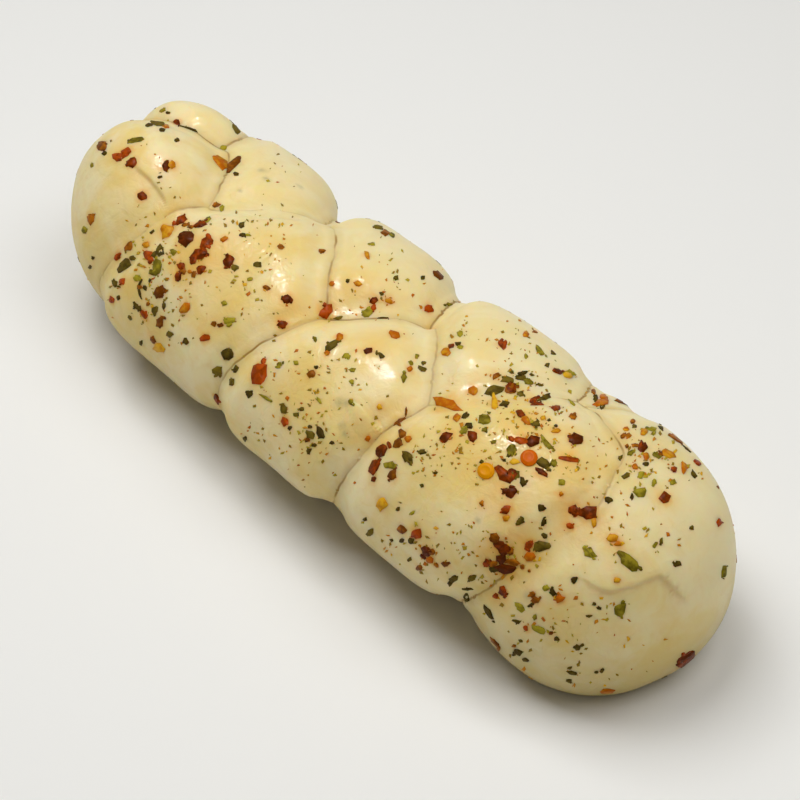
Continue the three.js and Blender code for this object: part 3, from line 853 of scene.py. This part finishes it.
def lay_seed(bm, skin, spot, long, wide, cut, tone, rng):
    """Adds one flat round seed with a raised rim round its middle."""
    ball = bmesh.ops.create_icosphere(bm, subdivisions=4, radius=1.0)["verts"]
    tone_layer = bm.verts.layers.float["tone"]
    thick = cut.thick * MM
    for vert in ball:
        x, y, z = vert.co
        out = min(np.hypot(x, y), 1.0)
        fullness = (1.0 - out**3) ** 0.5
        ring = RING_HEIGHT * np.exp(-(((out - RING_PLACE) / RING_WIDTH) ** 2))
        ring -= HOLLOW_DEPTH * np.exp(-((out / HOLLOW_WIDTH) ** 2))
        height = np.sign(z) * thick * (0.5 * fullness + ring * (z > 0.0))
        flat = spot.place + spot.along * (x * long / 2.0) + spot.across * (y * wide / 2.0)
        vert.co = flat + spot.normal * (height + 0.1 * thick)
        vert[tone_layer] = tone


def new_flakes():
    bm = bmesh.new()
    bm.verts.layers.float.new("tone")
    return bm


def finished(bm, name, material):
    """The mesh in bm as a piece of its own, shaded smooth all over."""
    bmesh.ops.recalc_face_normals(bm, faces=bm.faces)
    mesh = mesh_from(bm, name)
    mesh.shade_smooth()
    mesh.materials.append(material)
    return new_object(name, mesh)


# Chips that have broken off a flake: which flakes are long enough for it, in pixels, how far off
# they lie and how long they are, as shares of the flake, how slender they are, how much their tone
# may differ, and how many widths a long flake's length counts as at most.
BREAKABLE = 5.0
CHIP_AWAY = (0.3, 0.62)
CHIP_LONG = (0.25, 0.55)
CHIP_SLENDER = (0.5, 0.9)
CHIP_TONE = 0.3
CHIP_WIDEST = 1.6


def lay_seen(bm, skin, bits, cut, rng, lay):
    """Lays the flakes that the camera sees, and gives back where they lie and how big they are."""
    laid = []
    for bit in bits:
        spot = skin.spot_under_pixel(bit.px, bit.py, bit.slant)
        if spot is None:
            continue
        long, wide = ((side * cut.growth + cut.spread) * spot.pixel for side in (bit.long, bit.wide))
        lay(bm, skin, spot, long, wide, cut, bit.tone, rng)
        laid.append((spot.place, (long + wide) / 4.0))
        for _ in range(rng.randint(0, cut.breaks) if bit.long > BREAKABLE else 0):
            turn, out = rng.uniform(0.0, 2.0 * np.pi), rng.uniform(*CHIP_AWAY)
            dx = np.cos(turn) * out * bit.long * cut.growth
            dy = np.sin(turn) * out * bit.wide * cut.growth
            slant = np.radians(bit.slant)
            px = bit.px + dx * np.cos(slant) + dy * np.sin(slant)
            py = bit.py - dx * np.sin(slant) + dy * np.cos(slant)
            chip = skin.spot_under_pixel(px, py, rng.uniform(0.0, 180.0))
            if chip is None:
                continue
            size = rng.uniform(*CHIP_LONG) * min(long, CHIP_WIDEST * wide)
            tone = min(max(bit.tone + rng.uniform(-CHIP_TONE, CHIP_TONE), 0.0), 1.0)
            lay(bm, skin, chip, size, size * rng.uniform(*CHIP_SLENDER), cut, tone, rng)
    return laid


# What is scattered over the unseen sides: how many flakes are tried, their lengths in millimetres
# and their widths as shares of those.
Scatter = namedtuple("Scatter", "tries lengths slender")
CHILLI_SCATTER = Scatter(240, (0.8, 3.2), (0.5, 0.9))
SLIVER_SCATTER = Scatter(110, (0.7, 3.4), (0.25, 0.6))
SEED_SCATTER = Scatter(9, (3.1, 3.4), (0.94, 1.0))
DARK_HERB_SCATTER = Scatter(300, (0.5, 2.8), (0.4, 0.8))
GREEN_HERB_SCATTER = Scatter(180, (0.6, 2.8), (0.35, 0.75))
BROWN_SCATTER = Scatter(180, (0.6, 2.8), (0.4, 0.9))
DUST_SCATTER = Scatter(1500, (0.35, 1.2), (0.35, 0.9))

# The clusters in it. Lengths along the plait are in millimetres, and turns round it in radians.
CLUSTERS = 7
CLUSTER_LIMIT = 70.0  # their middles lie within this of the plait's own
SCATTER_LIMIT = 84.0  # and all flakes within this
CLUSTERED = 0.6  # share of the flakes that lie in a cluster
CLUSTER_LENGTH = 10.0
CLUSTER_TURN = 0.45
LOWEST = 2.5  # no flake lies lower than this, in millimetres
SMALLNESS = 2.2  # the higher this is, the more of the flakes are small


def lay_unseen(bm, skin, scatter, cut, rng, lay):
    """Scatters flakes over the sides that the camera doesn't see, thickest about a few places."""
    laid = []
    middles = []
    for _ in range(CLUSTERS):
        middles.append((rng.uniform(-CLUSTER_LIMIT, CLUSTER_LIMIT), rng.uniform(-np.pi, np.pi)))
    for _ in range(scatter.tries):
        x, turn = rng.uniform(-SCATTER_LIMIT, SCATTER_LIMIT), rng.uniform(-np.pi, np.pi)
        if rng.random() < CLUSTERED:
            middle = rng.choice(middles)
            x, turn = rng.gauss(middle[0], CLUSTER_LENGTH), rng.gauss(middle[1], CLUSTER_TURN)
        spot = skin.spot_outside(x, turn, rng.uniform(0.0, np.pi))
        if spot is None or spot.place.z < LOWEST * MM or skin.shows(spot.place, spot.normal):
            continue
        long = lerp(*scatter.lengths, rng.random() ** SMALLNESS) * MM
        lay(bm, skin, spot, long, long * rng.uniform(*scatter.slender), cut, rng.random(), rng)
        laid.append((spot.place, long / 2.5))
    return laid


# Materials

# How fine each pattern in a material is, in cells to the metre.
FINENESS = {
    "clouds": 60.0,
    "mottles": 170.0,
    "seep": 240.0,
    "crease_shade_patches": 120.0,
    "ripples": 300.0,
    "film": 560.0,
    "grain": 900.0,
    "curd": 2600.0,
    "flake_blotches": 700.0,
    "flake_grain": 2800.0,
    "dust_grain": 2200.0,
    "floor_haze": 3.0,
}


def linear(red, green, blue):
    """A colour picked in eight-bit screen values, as the linear values that shaders take."""
    shares = [value / 255.0 for value in (red, green, blue)]
    return tuple(s / 12.92 if s <= 0.04045 else ((s + 0.055) / 1.055) ** 2.4 for s in shares)


def node(tree, kind, inputs=None, **settings):
    """Adds a shader node. An input that is another node's output is linked, any other is set."""
    made = tree.nodes.new("ShaderNode" + kind)
    for name, value in settings.items():
        setattr(made, name, value)
    for name, value in (inputs or {}).items():
        if isinstance(value, bpy.types.NodeSocket):
            tree.links.new(value, made.inputs[name])
        else:
            made.inputs[name].default_value = value
    return made


def attribute(tree, name):
    return node(tree, "Attribute", attribute_name=name).outputs["Fac"]


def noise(tree, vector, scale, detail=2.0, roughness=0.5, distortion=0.0):
    """A cloudy pattern with this many cells to the metre."""
    inputs = {"Vector": vector, "Scale": scale, "Detail": detail, "Roughness": roughness}
    return node(tree, "TexNoise", {**inputs, "Distortion": distortion}).outputs["Fac"]


def ramp(tree, value, low, high, to_low=0.0, to_high=1.0):
    """Stretches a value's range."""
    inputs = {"Value": value, "From Min": low, "From Max": high, "To Min": to_low, "To Max": to_high}
    return node(tree, "MapRange", inputs, interpolation_type="SMOOTHSTEP").outputs["Result"]


def maths(tree, operation, first, second):
    return node(tree, "Math", {0: first, 1: second}, operation=operation).outputs["Value"]


def mixed(tree, share, first, second):
    """One colour turning into another as share goes from 0 to 1."""
    mix = node(tree, "Mix", data_type="RGBA")
    for index, value in ((0, share), (6, first), (7, second)):
        if isinstance(value, bpy.types.NodeSocket):
            tree.links.new(value, mix.inputs[index])
        elif index:
            mix.inputs[index].default_value = (*value, 1.0)
        else:
            mix.inputs[index].default_value = value
    return mix.outputs[2]


def new_material(name):
    material = bpy.data.materials.new(name)
    material.use_nodes = True
    tree = material.node_tree
    coords = node(tree, "TexCoord").outputs["Object"]
    return material, tree, tree.nodes["Principled BSDF"], coords


def set_shader(shader, **values):
    for name, value in values.items():
        shader.inputs[name.replace("_", " ")].default_value = value


def bumps(tree, heights, normal=None):
    """Bumps of several sizes, each a pattern with its strength and its height in metres."""
    for pattern, strength, distance in heights:
        inputs = {"Height": pattern, "Strength": strength, "Distance": distance}
        if normal:
            inputs["Normal"] = normal
        normal = node(tree, "Bump", inputs).outputs["Normal"]
    return normal


def bumped(tree, shader, heights, wet=()):
    """Bumps on the surface, and those of its wet film on top of them."""
    normal = bumps(tree, heights)
    tree.links.new(normal, shader.inputs["Normal"])
    tree.links.new(bumps(tree, wet, normal), shader.inputs["Coat Normal"])


def cheese_material(settings):
    material, tree, shader, coords = new_material("cheese")
    clouds = ramp(tree, noise(tree, coords, FINENESS["clouds"], 3.0, 0.55, 0.8), 0.35, 0.66)
    mottles = ramp(tree, noise(tree, coords, FINENESS["mottles"], 3.0, 0.6, 0.6), 0.42, 0.75)
    grain = noise(tree, coords, FINENESS["grain"], 4.0, 0.6)
    curd = noise(tree, coords, FINENESS["curd"], 2.0)
    colour = mixed(tree, clouds, settings.flesh, settings.pale)
    colour = mixed(tree, maths(tree, "MULTIPLY", mottles, 0.35), colour, settings.warm)
    colour = mixed(tree, maths(tree, "MULTIPLY", attribute(tree, "warmth"), 0.75), colour, settings.warm)
    seep = ramp(tree, noise(tree, coords, FINENESS["seep"], 3.0, 0.6), 0.3, 0.7, 0.45, 1.0)
    colour = mixed(tree, maths(tree, "MULTIPLY", attribute(tree, "stain"), seep), colour, settings.oil)
    place = node(tree, "SeparateXYZ", {"Vector": coords}).outputs
    colour = mixed(tree, ramp(tree, place["Y"], -4.0 * MM, 20.0 * MM, 0.0, 0.55), colour, settings.pale)
    # Painted shade: the skin is darkened towards the low colour near the floor.
    colour = mixed(tree, ramp(tree, place["Z"], 0.0, 25.0 * MM, 0.8, 0.0), colour, settings.low)
    # Painted shade: the skin is darkened towards the fold colour in a thin patchy line along each crease
    # and a broader shade beside it, less where the creases are soft, and along the fold lines.
    away = attribute(tree, "away")
    patchy_crease_shade = ramp(tree, noise(tree, coords, FINENESS["crease_shade_patches"], 2.0), 0.35, 0.65, 0.35, 0.95)
    line = maths(tree, "MULTIPLY", ramp(tree, away, 0.05, 0.48, 1.0, 0.0), patchy_crease_shade)
    crease = maths(tree, "MAXIMUM", line, ramp(tree, away, 0.0, 2.2, 0.24, 0.0))
    crease = maths(tree, "MULTIPLY", crease, attribute(tree, "firm"))
    crease = maths(tree, "MAXIMUM", crease, maths(tree, "MULTIPLY", attribute(tree, "drawn"), 0.2))
    colour = mixed(tree, crease, colour, settings.fold)
    colour = mixed(tree, maths(tree, "MULTIPLY", attribute(tree, "speck"), 0.5), colour, settings.buried)
    tree.links.new(colour, shader.inputs["Base Color"])
    gloss = maths(tree, "ADD", ramp(tree, clouds, 0.0, 1.0, 0.05, -0.04), settings.roughness)
    gloss = maths(tree, "ADD", gloss, maths(tree, "MULTIPLY", grain, 0.1))
    tree.links.new(gloss, shader.inputs["Roughness"])
    tree.links.new(ramp(tree, away, 0.3, 1.6, 0.0, 0.1), shader.inputs["Coat Weight"])
    ripples = noise(tree, coords, FINENESS["ripples"], 3.0, 0.55, 0.5)
    film = noise(tree, coords, FINENESS["film"], 2.0, 0.5, 0.6)
    bumped(
        tree,
        shader,
        ((ripples, 0.6, 0.5 * MM), (grain, 0.3, 0.16 * MM), (curd, 0.1, 0.06 * MM)),
        wet=((film, 0.35, 0.2 * MM),),
    )
    set_shader(
        shader,
        Subsurface_Weight=0.8,
        Subsurface_Radius=(1.0, 0.62, 0.26),
        Subsurface_Scale=3.5 * MM,
        Coat_Roughness=0.06,
        Specular_IOR_Level=0.12,
    )
    return material


def flake_material(name, dark, light, roughness, rough_grain=0.5):
    """Dried spice: each flake has its own tone between dark and light, and is blotched within it."""
    material, tree, shader, coords = new_material(name)
    blotches = noise(tree, coords, FINENESS["flake_blotches"], 3.0, 0.6)
    grain = noise(tree, coords, FINENESS["flake_grain"], 3.0, 0.65)
    share = maths(tree, "ADD", attribute(tree, "tone"), ramp(tree, blotches, 0.3, 0.7, -0.3, 0.3))
    colour = mixed(tree, ramp(tree, share, 0.0, 1.0), dark, light)
    darker = tuple(value * 0.5 for value in dark)
    colour = mixed(tree, ramp(tree, grain, 0.58, 0.85, 0.0, 0.5), colour, darker)
    tree.links.new(colour, shader.inputs["Base Color"])
    dullness = ramp(tree, grain, 0.3, 0.7, roughness - 0.1, roughness + 0.15)
    tree.links.new(dullness, shader.inputs["Roughness"])
    bumped(tree, shader, ((blotches, 0.4, 0.12 * MM), (grain, rough_grain, 0.05 * MM)))
    set_shader(shader, Specular_IOR_Level=0.04)
    return material


def dust_material(settings):
    """Fine dust, each grain rust, brown, olive or green by its tone."""
    material, tree, shader, coords = new_material("spice_dust")
    tone = attribute(tree, "tone")
    colour = mixed(tree, ramp(tree, tone, 0.08, 0.12), settings.chilli_light, settings.sliver_light)
    colour = mixed(tree, ramp(tree, tone, 0.2, 0.24), colour, settings.brown_light)
    colour = mixed(tree, ramp(tree, tone, 0.4, 0.46), colour, settings.herb_light)
    colour = mixed(tree, ramp(tree, tone, 0.7, 0.76), colour, settings.green_light)
    grain = noise(tree, coords, FINENESS["dust_grain"], 2.0)
    colour = mixed(tree, ramp(tree, grain, 0.4, 0.8, 0.0, 0.25), colour, settings.brown_dark)
    colour = mixed(tree, 0.2, colour, settings.sliver_light)
    tree.links.new(colour, shader.inputs["Base Color"])
    bumped(tree, shader, ((grain, 0.4, 0.1 * MM),))
    set_shader(shader, Roughness=0.6, Specular_IOR_Level=0.05)
    return material


def floor_material(colour):
    material, tree, shader, coords = new_material("pale_floor")
    haze = noise(tree, coords, FINENESS["floor_haze"], 2.0)
    darker = tuple(value * 0.985 for value in colour)
    tree.links.new(mixed(tree, haze, colour, darker), shader.inputs["Base Color"])
    set_shader(shader, Roughness=0.7, Specular_IOR_Level=0.2)
    return material


# Settings


def colour_setting(name, description, default):
    return FloatVectorProperty(
        name=name, description=description, subtype="COLOR", min=0.0, max=1.0, default=default
    )


def length_setting(name, description, millimetres):
    return FloatProperty(
        name=name, description=description, subtype="DISTANCE", unit="LENGTH", default=millimetres * MM
    )


def power_setting(name, description, watts):
    return FloatProperty(name=name, description=description, unit="POWER", default=watts)


class CheeseSettings(bpy.types.PropertyGroup):
    """Size of the surface detail, colours of the cheese itself, and colours of the painted shade in its
    creases and near the floor
    """

    flesh: colour_setting("Flesh", "Colour of the cheese", linear(238, 214, 141))
    pale: colour_setting("Pale clouds", "Colour where the curd is palest", linear(243, 228, 178))
    warm: colour_setting("Warm mottles", "Colour of the deeper yellow mottling", linear(234, 200, 108))
    # The colour of the painted shade along the creases and the fold lines.
    fold: colour_setting("Folds", "Colour deep in the creases", linear(162, 118, 40))
    oil: colour_setting("Oil", "Colour that chilli oil leaves round a flake", linear(242, 174, 66))
    # The colour of the painted shade near the floor.
    low: colour_setting("Low down", "Colour of the skin near the floor", linear(168, 148, 92))
    buried: colour_setting("Buried specks", "Colour of specks just under the skin", linear(150, 142, 108))
    roughness: FloatProperty(
        name="Roughness", description="Dullness of the skin", default=0.46, min=0.0, max=1.0
    )
    crease_depth: length_setting("Crease depth", "How much the creases are drawn in", 0.24)
    crease_width: length_setting("Crease width", "How far from a crease the skin is drawn in", 0.4)
    crease_reach: length_setting(
        "Crease reach", "How far from a crease the lobes are pressed together", 6.0
    )
    unevenness: length_setting("Unevenness", "Height of the soft bumps of the skin", 0.22)


class SpiceSettings(bpy.types.PropertyGroup):
    """Colours and amounts of the spices"""

    chilli_dark: colour_setting("Dark chilli", "Colour of the darkest chilli flakes", linear(88, 36, 2))
    chilli_light: colour_setting("Light chilli", "Colour of the lightest chilli flakes", linear(180, 74, 6))
    sliver_dark: colour_setting("Orange sliver", "Colour of the orange slivers", linear(186, 96, 4))
    sliver_light: colour_setting("Yellow sliver", "Colour of the yellow slivers", linear(228, 174, 36))
    seed_dark: colour_setting("Orange seed", "Colour of the orange seed", linear(206, 96, 2))
    seed_light: colour_setting("Yellow seed", "Colour of the yellow seed", linear(226, 150, 4))
    herb_dark: colour_setting("Dark herb", "Colour of the darkest herb flakes", linear(70, 54, 12))
    herb_light: colour_setting(
        "Lighter dark herb", "Colour of the lightest dark flakes", linear(118, 98, 24)
    )
    green_dark: colour_setting("Olive herb", "Colour of the olive herb flakes", linear(98, 84, 12))
    green_light: colour_setting("Pale herb", "Colour of the palest herb flakes", linear(170, 154, 38))
    brown_dark: colour_setting("Dark brown", "Colour of the darkest brown bits", linear(108, 56, 2))
    brown_light: colour_setting("Light brown", "Colour of the lightest brown bits", linear(196, 116, 16))
    seed: IntProperty(name="Seed", description="Seed of the scatter", default=20871)


class StageSettings(bpy.types.PropertyGroup):
    """Floor, light and camera"""

    floor: colour_setting("Floor", "Colour of the floor", linear(244, 244, 242))
    sky: colour_setting("Sky", "Colour of the light from all round", linear(240, 235, 222))
    sky_strength: FloatProperty(
        name="Sky strength", description="Strength of the light from all round", default=0.18
    )
    key_power: power_setting("Key", "Power of the light overhead", 2.65)
    fill_power: power_setting("Fill", "Power of the light from the near end", 1.45)
    glint_power: power_setting("Glint", "Power of the small light", 4.5)


# Pieces

CHEESE = "braid_cheese"
CREASE_ROUNDS = 12  # rounds of smoothing along each crease, before it is filled
FILLED_ROUNDS = 8  # and after
EDGE_REACH = 1.2  # how far from a crease the joined lobes are smoothed, in millimetres
EDGE_ROUNDS = 3
FINE_REACH = 4.0  # how far from a crease the skin is refined, in crease widths
SKIN_WAVES = ((26.0, 5, 0.6), (11.0, 8, 0.4))  # length in millimetres, seed and share of the height
AWAY_LIMIT = 6.0  # distances from the creases are kept up to this, in millimetres
STAIN_REACH = 1.4  # how far round a flake that stains it the skin is refined, in millimetres

# How much of a flake's oil lies in a ring round it and how much in the halo, and how far each
# reaches, as a share of the flake's radius and in millimetres.
RING_SHARE, RING_RADII, RING_MARGIN = 0.8, 0.2, 0.25
HALO_SHARE, HALO_RADII, HALO_MARGIN = 0.26, 1.8, 1.6


def plaited():
    """The lobes and the rounded ends as one solid, its creases running smoothly."""
    shapes = []
    for index, lobe in enumerate(LOBES):
        shapes.append(shaped_sphere(f"lobe_{index}", *LOBE_MESH, partial(strand_lobe, **lobe)))
    for index, end in enumerate(ENDS):
        shapes.append(shaped_sphere(f"end_{index}", *END_MESH, partial(rounded_end, **end)))
    cheese = joined(shapes, CHEESE)
    mesh = cheese.data
    largest_shell(mesh)
    weld_slivers(mesh, WELD_WIDTH * MM)
    smooth_creases(mesh, CREASE_ROUNDS)
    set_positions(mesh, smoothed(mesh, crease_distance(mesh) < EDGE_REACH * MM, EDGE_ROUNDS))
    return cheese


def roughen(mesh, skin, settings):
    """Makes the skin softly uneven and draws it in along the firm creases."""
    places = positions(mesh)
    firmness = 1.0 - skin.blots(places, SOFT_CREASES)
    groove = firmness * np.exp(-((crease_distance(mesh) / settings.crease_width) ** 2))
    swell = sum(waves(places, length * MM, seed) * share for length, seed, share in SKIN_WAVES)
    lift = settings.unevenness * swell * (1.0 - groove) - settings.crease_depth * groove
    set_positions(mesh, places + normals(mesh) * lift[:, None])


def rest_on_floor(mesh):
    places = positions(mesh)
    places[:, 2] = np.maximum(places[:, 2], 0.0)
    set_positions(mesh, places)


class BRAID_OT_cheese(bpy.types.Operator):
    """Build the plaited cheese"""

    bl_idname = "braid.cheese"
    bl_label = "Cheese"

    def execute(self, context):
        settings = context.scene.braid_cheese
        cheese = plaited()
        mesh = cheese.data
        softness = Skin(cheese).blots(positions(mesh), SOFT_CREASES)
        fill_creases(mesh, softness, settings.crease_reach)
        smooth_creases(mesh, FILLED_ROUNDS)
        refine(mesh, crease_distance(mesh) < FINE_REACH * settings.crease_width)
        skin = Skin(cheese)
        roughen(mesh, skin, settings)
        set_point_attribute(mesh, "drawn", fold_skin(cheese, FOLDS))
        rest_on_floor(mesh)
        refine(mesh, near_stains(Skin(cheese), positions(mesh)))
        places = positions(mesh)
        layers = {
            "away": np.minimum(crease_distance(mesh), AWAY_LIMIT * MM) / MM,
            "firm": 1.0 - skin.blots(places, SOFT_CREASES),
            "warmth": skin.blots(places, WARM_PATCHES),
            "stain": np.zeros(len(places)),
            "speck": skin.blots(places, SUNKEN_SPECKS),
        }
        for name, values in layers.items():
            set_point_attribute(mesh, name, values)
        mesh.shade_smooth()
        mesh.materials.append(cheese_material(settings))
        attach(cheese, BODY)
        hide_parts(NODE)
        return {"FINISHED"}


def near_stains(skin, places):
    """The points round the bits that stain the cheese."""
    spots = [skin.spot_under_pixel(bit.px, bit.py, bit.slant) for bit in STAINING if bit.long > BREAKABLE]
    met = np.array([spot.place for spot in spots if spot])
    return nearest_distance(places, met) < STAIN_REACH * MM


def stain_cheese(laid, strength):
    """Adds the ring and the wider halo of oil that chilli leaves in the skin round it."""
    mesh = bpy.data.objects[CHEESE].data
    places = positions(mesh)
    stain = point_attribute(mesh, "stain")
    for place, radius in laid:
        away = np.linalg.norm(places - np.array(place), axis=1)
        ring = np.exp(-((np.maximum(away - radius, 0.0) / (RING_RADII * radius + RING_MARGIN * MM)) ** 2))
        halo = np.exp(-((away / (HALO_RADII * radius + HALO_MARGIN * MM)) ** 2))
        stain = 1.0 - (1.0 - stain) * (1.0 - strength * (RING_SHARE * ring + HALO_SHARE * halo))
    set_point_attribute(mesh, "stain", stain)


def lay_spice(context, name, bits, cut, scatter, material, oil=0.0, lay=lay_flake):
    """One kind of spice: the flakes that the camera sees, a scatter on the other sides, and their oil."""
    skin = Skin(bpy.data.objects[CHEESE])
    rng = random.Random(f"{name} {context.scene.braid_spice.seed}")
    bm = new_flakes()
    laid = lay_seen(bm, skin, bits, cut, rng, lay)
    laid += lay_unseen(bm, skin, scatter, cut, rng, lay)
    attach(finished(bm, name, material), BODY)
    if oil:
        stain_cheese(laid, oil)
    return {"FINISHED"}


class BRAID_OT_chilli(bpy.types.Operator):
    """Lay the red chilli flakes"""

    bl_idname = "braid.chilli"
    bl_label = "Chilli Flakes"

    def execute(self, context):
        spice = context.scene.braid_spice
        material = flake_material("chilli", spice.chilli_dark, spice.chilli_light, 0.38)
        return lay_spice(context, "chilli_flakes", CHILLI_FLAKES, CHIP, CHILLI_SCATTER, material, oil=0.8)


class BRAID_OT_slivers(bpy.types.Operator):
    """Lay the orange and yellow slivers"""

    bl_idname = "braid.slivers"
    bl_label = "Pepper Slivers"

    def execute(self, context):
        spice = context.scene.braid_spice
        material = flake_material("pepper_sliver", spice.sliver_dark, spice.sliver_light, 0.4, 0.3)
        return lay_spice(
            context, "pepper_slivers", PEPPER_SLIVERS, SLIVER, SLIVER_SCATTER, material, oil=0.6
        )


class BRAID_OT_seeds(bpy.types.Operator):
    """Lay the round seeds"""

    bl_idname = "braid.seeds"
    bl_label = "Round Seeds"

    def execute(self, context):
        spice = context.scene.braid_spice
        material = flake_material("seed", spice.seed_dark, spice.seed_light, 0.35, 0.2)
        return lay_spice(
            context, "round_seeds", ROUND_SEEDS, SEED, SEED_SCATTER, material, oil=0.4, lay=lay_seed
        )


class BRAID_OT_dark_herbs(bpy.types.Operator):
    """Lay the dark herb flakes"""

    bl_idname = "braid.dark_herbs"
    bl_label = "Dark Herbs"

    def execute(self, context):
        spice = context.scene.braid_spice
        material = flake_material("dark_herb", spice.herb_dark, spice.herb_light, 0.6)
        return lay_spice(context, "dark_herbs", DARK_HERBS, LEAF, DARK_HERB_SCATTER, material)


class BRAID_OT_green_herbs(bpy.types.Operator):
    """Lay the olive and green herb flakes"""

    bl_idname = "braid.green_herbs"
    bl_label = "Green Herbs"

    def execute(self, context):
        spice = context.scene.braid_spice
        material = flake_material("green_herb", spice.green_dark, spice.green_light, 0.55)
        return lay_spice(context, "green_herbs", GREEN_HERBS, LEAF, GREEN_HERB_SCATTER, material)


class BRAID_OT_brown_bits(bpy.types.Operator):
    """Lay the brown bits"""

    bl_idname = "braid.brown_bits"
    bl_label = "Brown Bits"

    def execute(self, context):
        spice = context.scene.braid_spice
        material = flake_material("brown_bit", spice.brown_dark, spice.brown_light, 0.45)
        return lay_spice(context, "brown_bits", BROWN_BITS, CRUMB, BROWN_SCATTER, material, oil=0.4)


PATCH_SPREAD = 0.5  # how far most grains of a patch stray from its middle, in its reaches
LOWEST_DUST = 1.0  # no seen grain lies lower than this, in millimetres
DUST_SMALLNESS = 1.5  # as SMALLNESS, for the grains that the camera sees


class BRAID_OT_dust(bpy.types.Operator):
    """Sprinkle the dust"""

    bl_idname = "braid.dust"
    bl_label = "Spice Dust"

    def execute(self, context):
        settings = context.scene.braid_spice
        skin = Skin(bpy.data.objects[CHEESE])
        rng = random.Random(f"dust {settings.seed}")
        bm = new_flakes()
        for patch in DUST_PATCHES:
            for _ in range(patch.count):
                px = rng.gauss(patch.px, patch.across * PATCH_SPREAD)
                py = rng.gauss(patch.py, patch.down * PATCH_SPREAD)
                spot = skin.spot_under_pixel(px, py, rng.uniform(0.0, 180.0))
                if spot is None or spot.place.z < LOWEST_DUST * MM:
                    continue
                long = lerp(*DUST_SCATTER.lengths, rng.random() ** DUST_SMALLNESS) * MM
                wide = long * rng.uniform(*DUST_SCATTER.slender)
                lay_flake(bm, skin, spot, long, wide, GRAIN, rng.random(), rng)
        lay_unseen(bm, skin, DUST_SCATTER, GRAIN, rng, lay_flake)
        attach(finished(bm, "spice_dust", dust_material(settings)), BODY)
        return {"FINISHED"}


# Where each light stands and how wide it is, in metres.
LIGHTS = {
    "key": ((-0.2, -0.06, 0.64), 0.42),
    "fill": ((0.27, 0.13, 0.62), 0.42),
    "glint": ((-0.3, 0.04, 0.6), 0.055),
}
FLOOR_REACH = 2.0  # from the middle of the floor to its edges, in metres


def aimed_light(name, place, size, watts):
    """A soft square light that faces the cheese."""
    lamp = bpy.data.lights.new(name, "AREA")
    lamp.shape = "SQUARE"
    lamp.size = size
    lamp.energy = watts
    light = new_object(name, lamp)
    light.location = place
    light.rotation_euler = (Vector(place) - Vector(AIM) * MM).to_track_quat("Z", "Y").to_euler()
    return light


class BRAID_OT_stage(bpy.types.Operator):
    """Set the floor, the light and the camera"""

    bl_idname = "braid.stage"
    bl_label = "Stage"

    def execute(self, context):
        settings = context.scene.braid_stage
        scene = context.scene
        bm = bmesh.new()
        bmesh.ops.create_grid(bm, x_segments=1, y_segments=1, size=FLOOR_REACH)
        mesh = mesh_from(bm, "floor")
        mesh.materials.append(floor_material(settings.floor))
        floor = new_object("floor", mesh)
        world = bpy.data.worlds.new("soft_sky")
        world.use_nodes = True
        background = world.node_tree.nodes["Background"]
        background.inputs["Color"].default_value = (*settings.sky, 1.0)
        background.inputs["Strength"].default_value = settings.sky_strength
        scene.world = world
        lights = {}
        for name, (place, size) in LIGHTS.items():
            lights[name] = aimed_light(name, place, size, getattr(settings, name + "_power"))
        lights["glint"].visible_diffuse = False
        lens = bpy.data.cameras.new("camera")
        lens.sensor_width = SENSOR
        lens.lens = PICTURE_DISTANCE / PICTURE * SENSOR
        camera = new_object("camera", lens)
        camera.location = camera_place()
        camera.rotation_euler = (np.radians(90.0 - ELEVATION), 0.0, np.radians(AZIMUTH))
        scene.camera = camera
        scene.view_settings.view_transform = "Standard"
        return {"FINISHED"}


OPERATORS = (
    BRAID_OT_cheese,
    BRAID_OT_chilli,
    BRAID_OT_slivers,
    BRAID_OT_seeds,
    BRAID_OT_dark_herbs,
    BRAID_OT_green_herbs,
    BRAID_OT_brown_bits,
    BRAID_OT_dust,
    BRAID_OT_stage,
)


class BRAID_PT_sidebar(bpy.types.Panel):
    """Lists the pieces and their settings"""

    bl_idname = "BRAID_PT_sidebar"
    bl_label = "Braided Cheese"
    bl_space_type = "VIEW_3D"
    bl_region_type = "UI"
    bl_category = "Braid"

    def draw(self, context):
        layout = self.layout
        for setting in SETTINGS:
            group = getattr(context.scene, setting)
            box = layout.box()
            for name in group.__annotations__:
                box.prop(group, name)
        for operator in OPERATORS:
            layout.operator(operator.bl_idname)


SETTINGS = {"braid_cheese": CheeseSettings, "braid_spice": SpiceSettings, "braid_stage": StageSettings}
CLASSES = (*SETTINGS.values(), *OPERATORS, BRAID_PT_sidebar)


def register():
    for kind in CLASSES:
        bpy.utils.register_class(kind)
    for name, kind in SETTINGS.items():
        setattr(bpy.types.Scene, name, PointerProperty(type=kind))


def unregister():
    for name in SETTINGS:
        delattr(bpy.types.Scene, name)
    for kind in reversed(CLASSES):
        bpy.utils.unregister_class(kind)


def main():
    register()
    for operator in OPERATORS:
        group, name = operator.bl_idname.split(".")
        getattr(getattr(bpy.ops, group), name)()


if __name__ == "__main__":
    main()
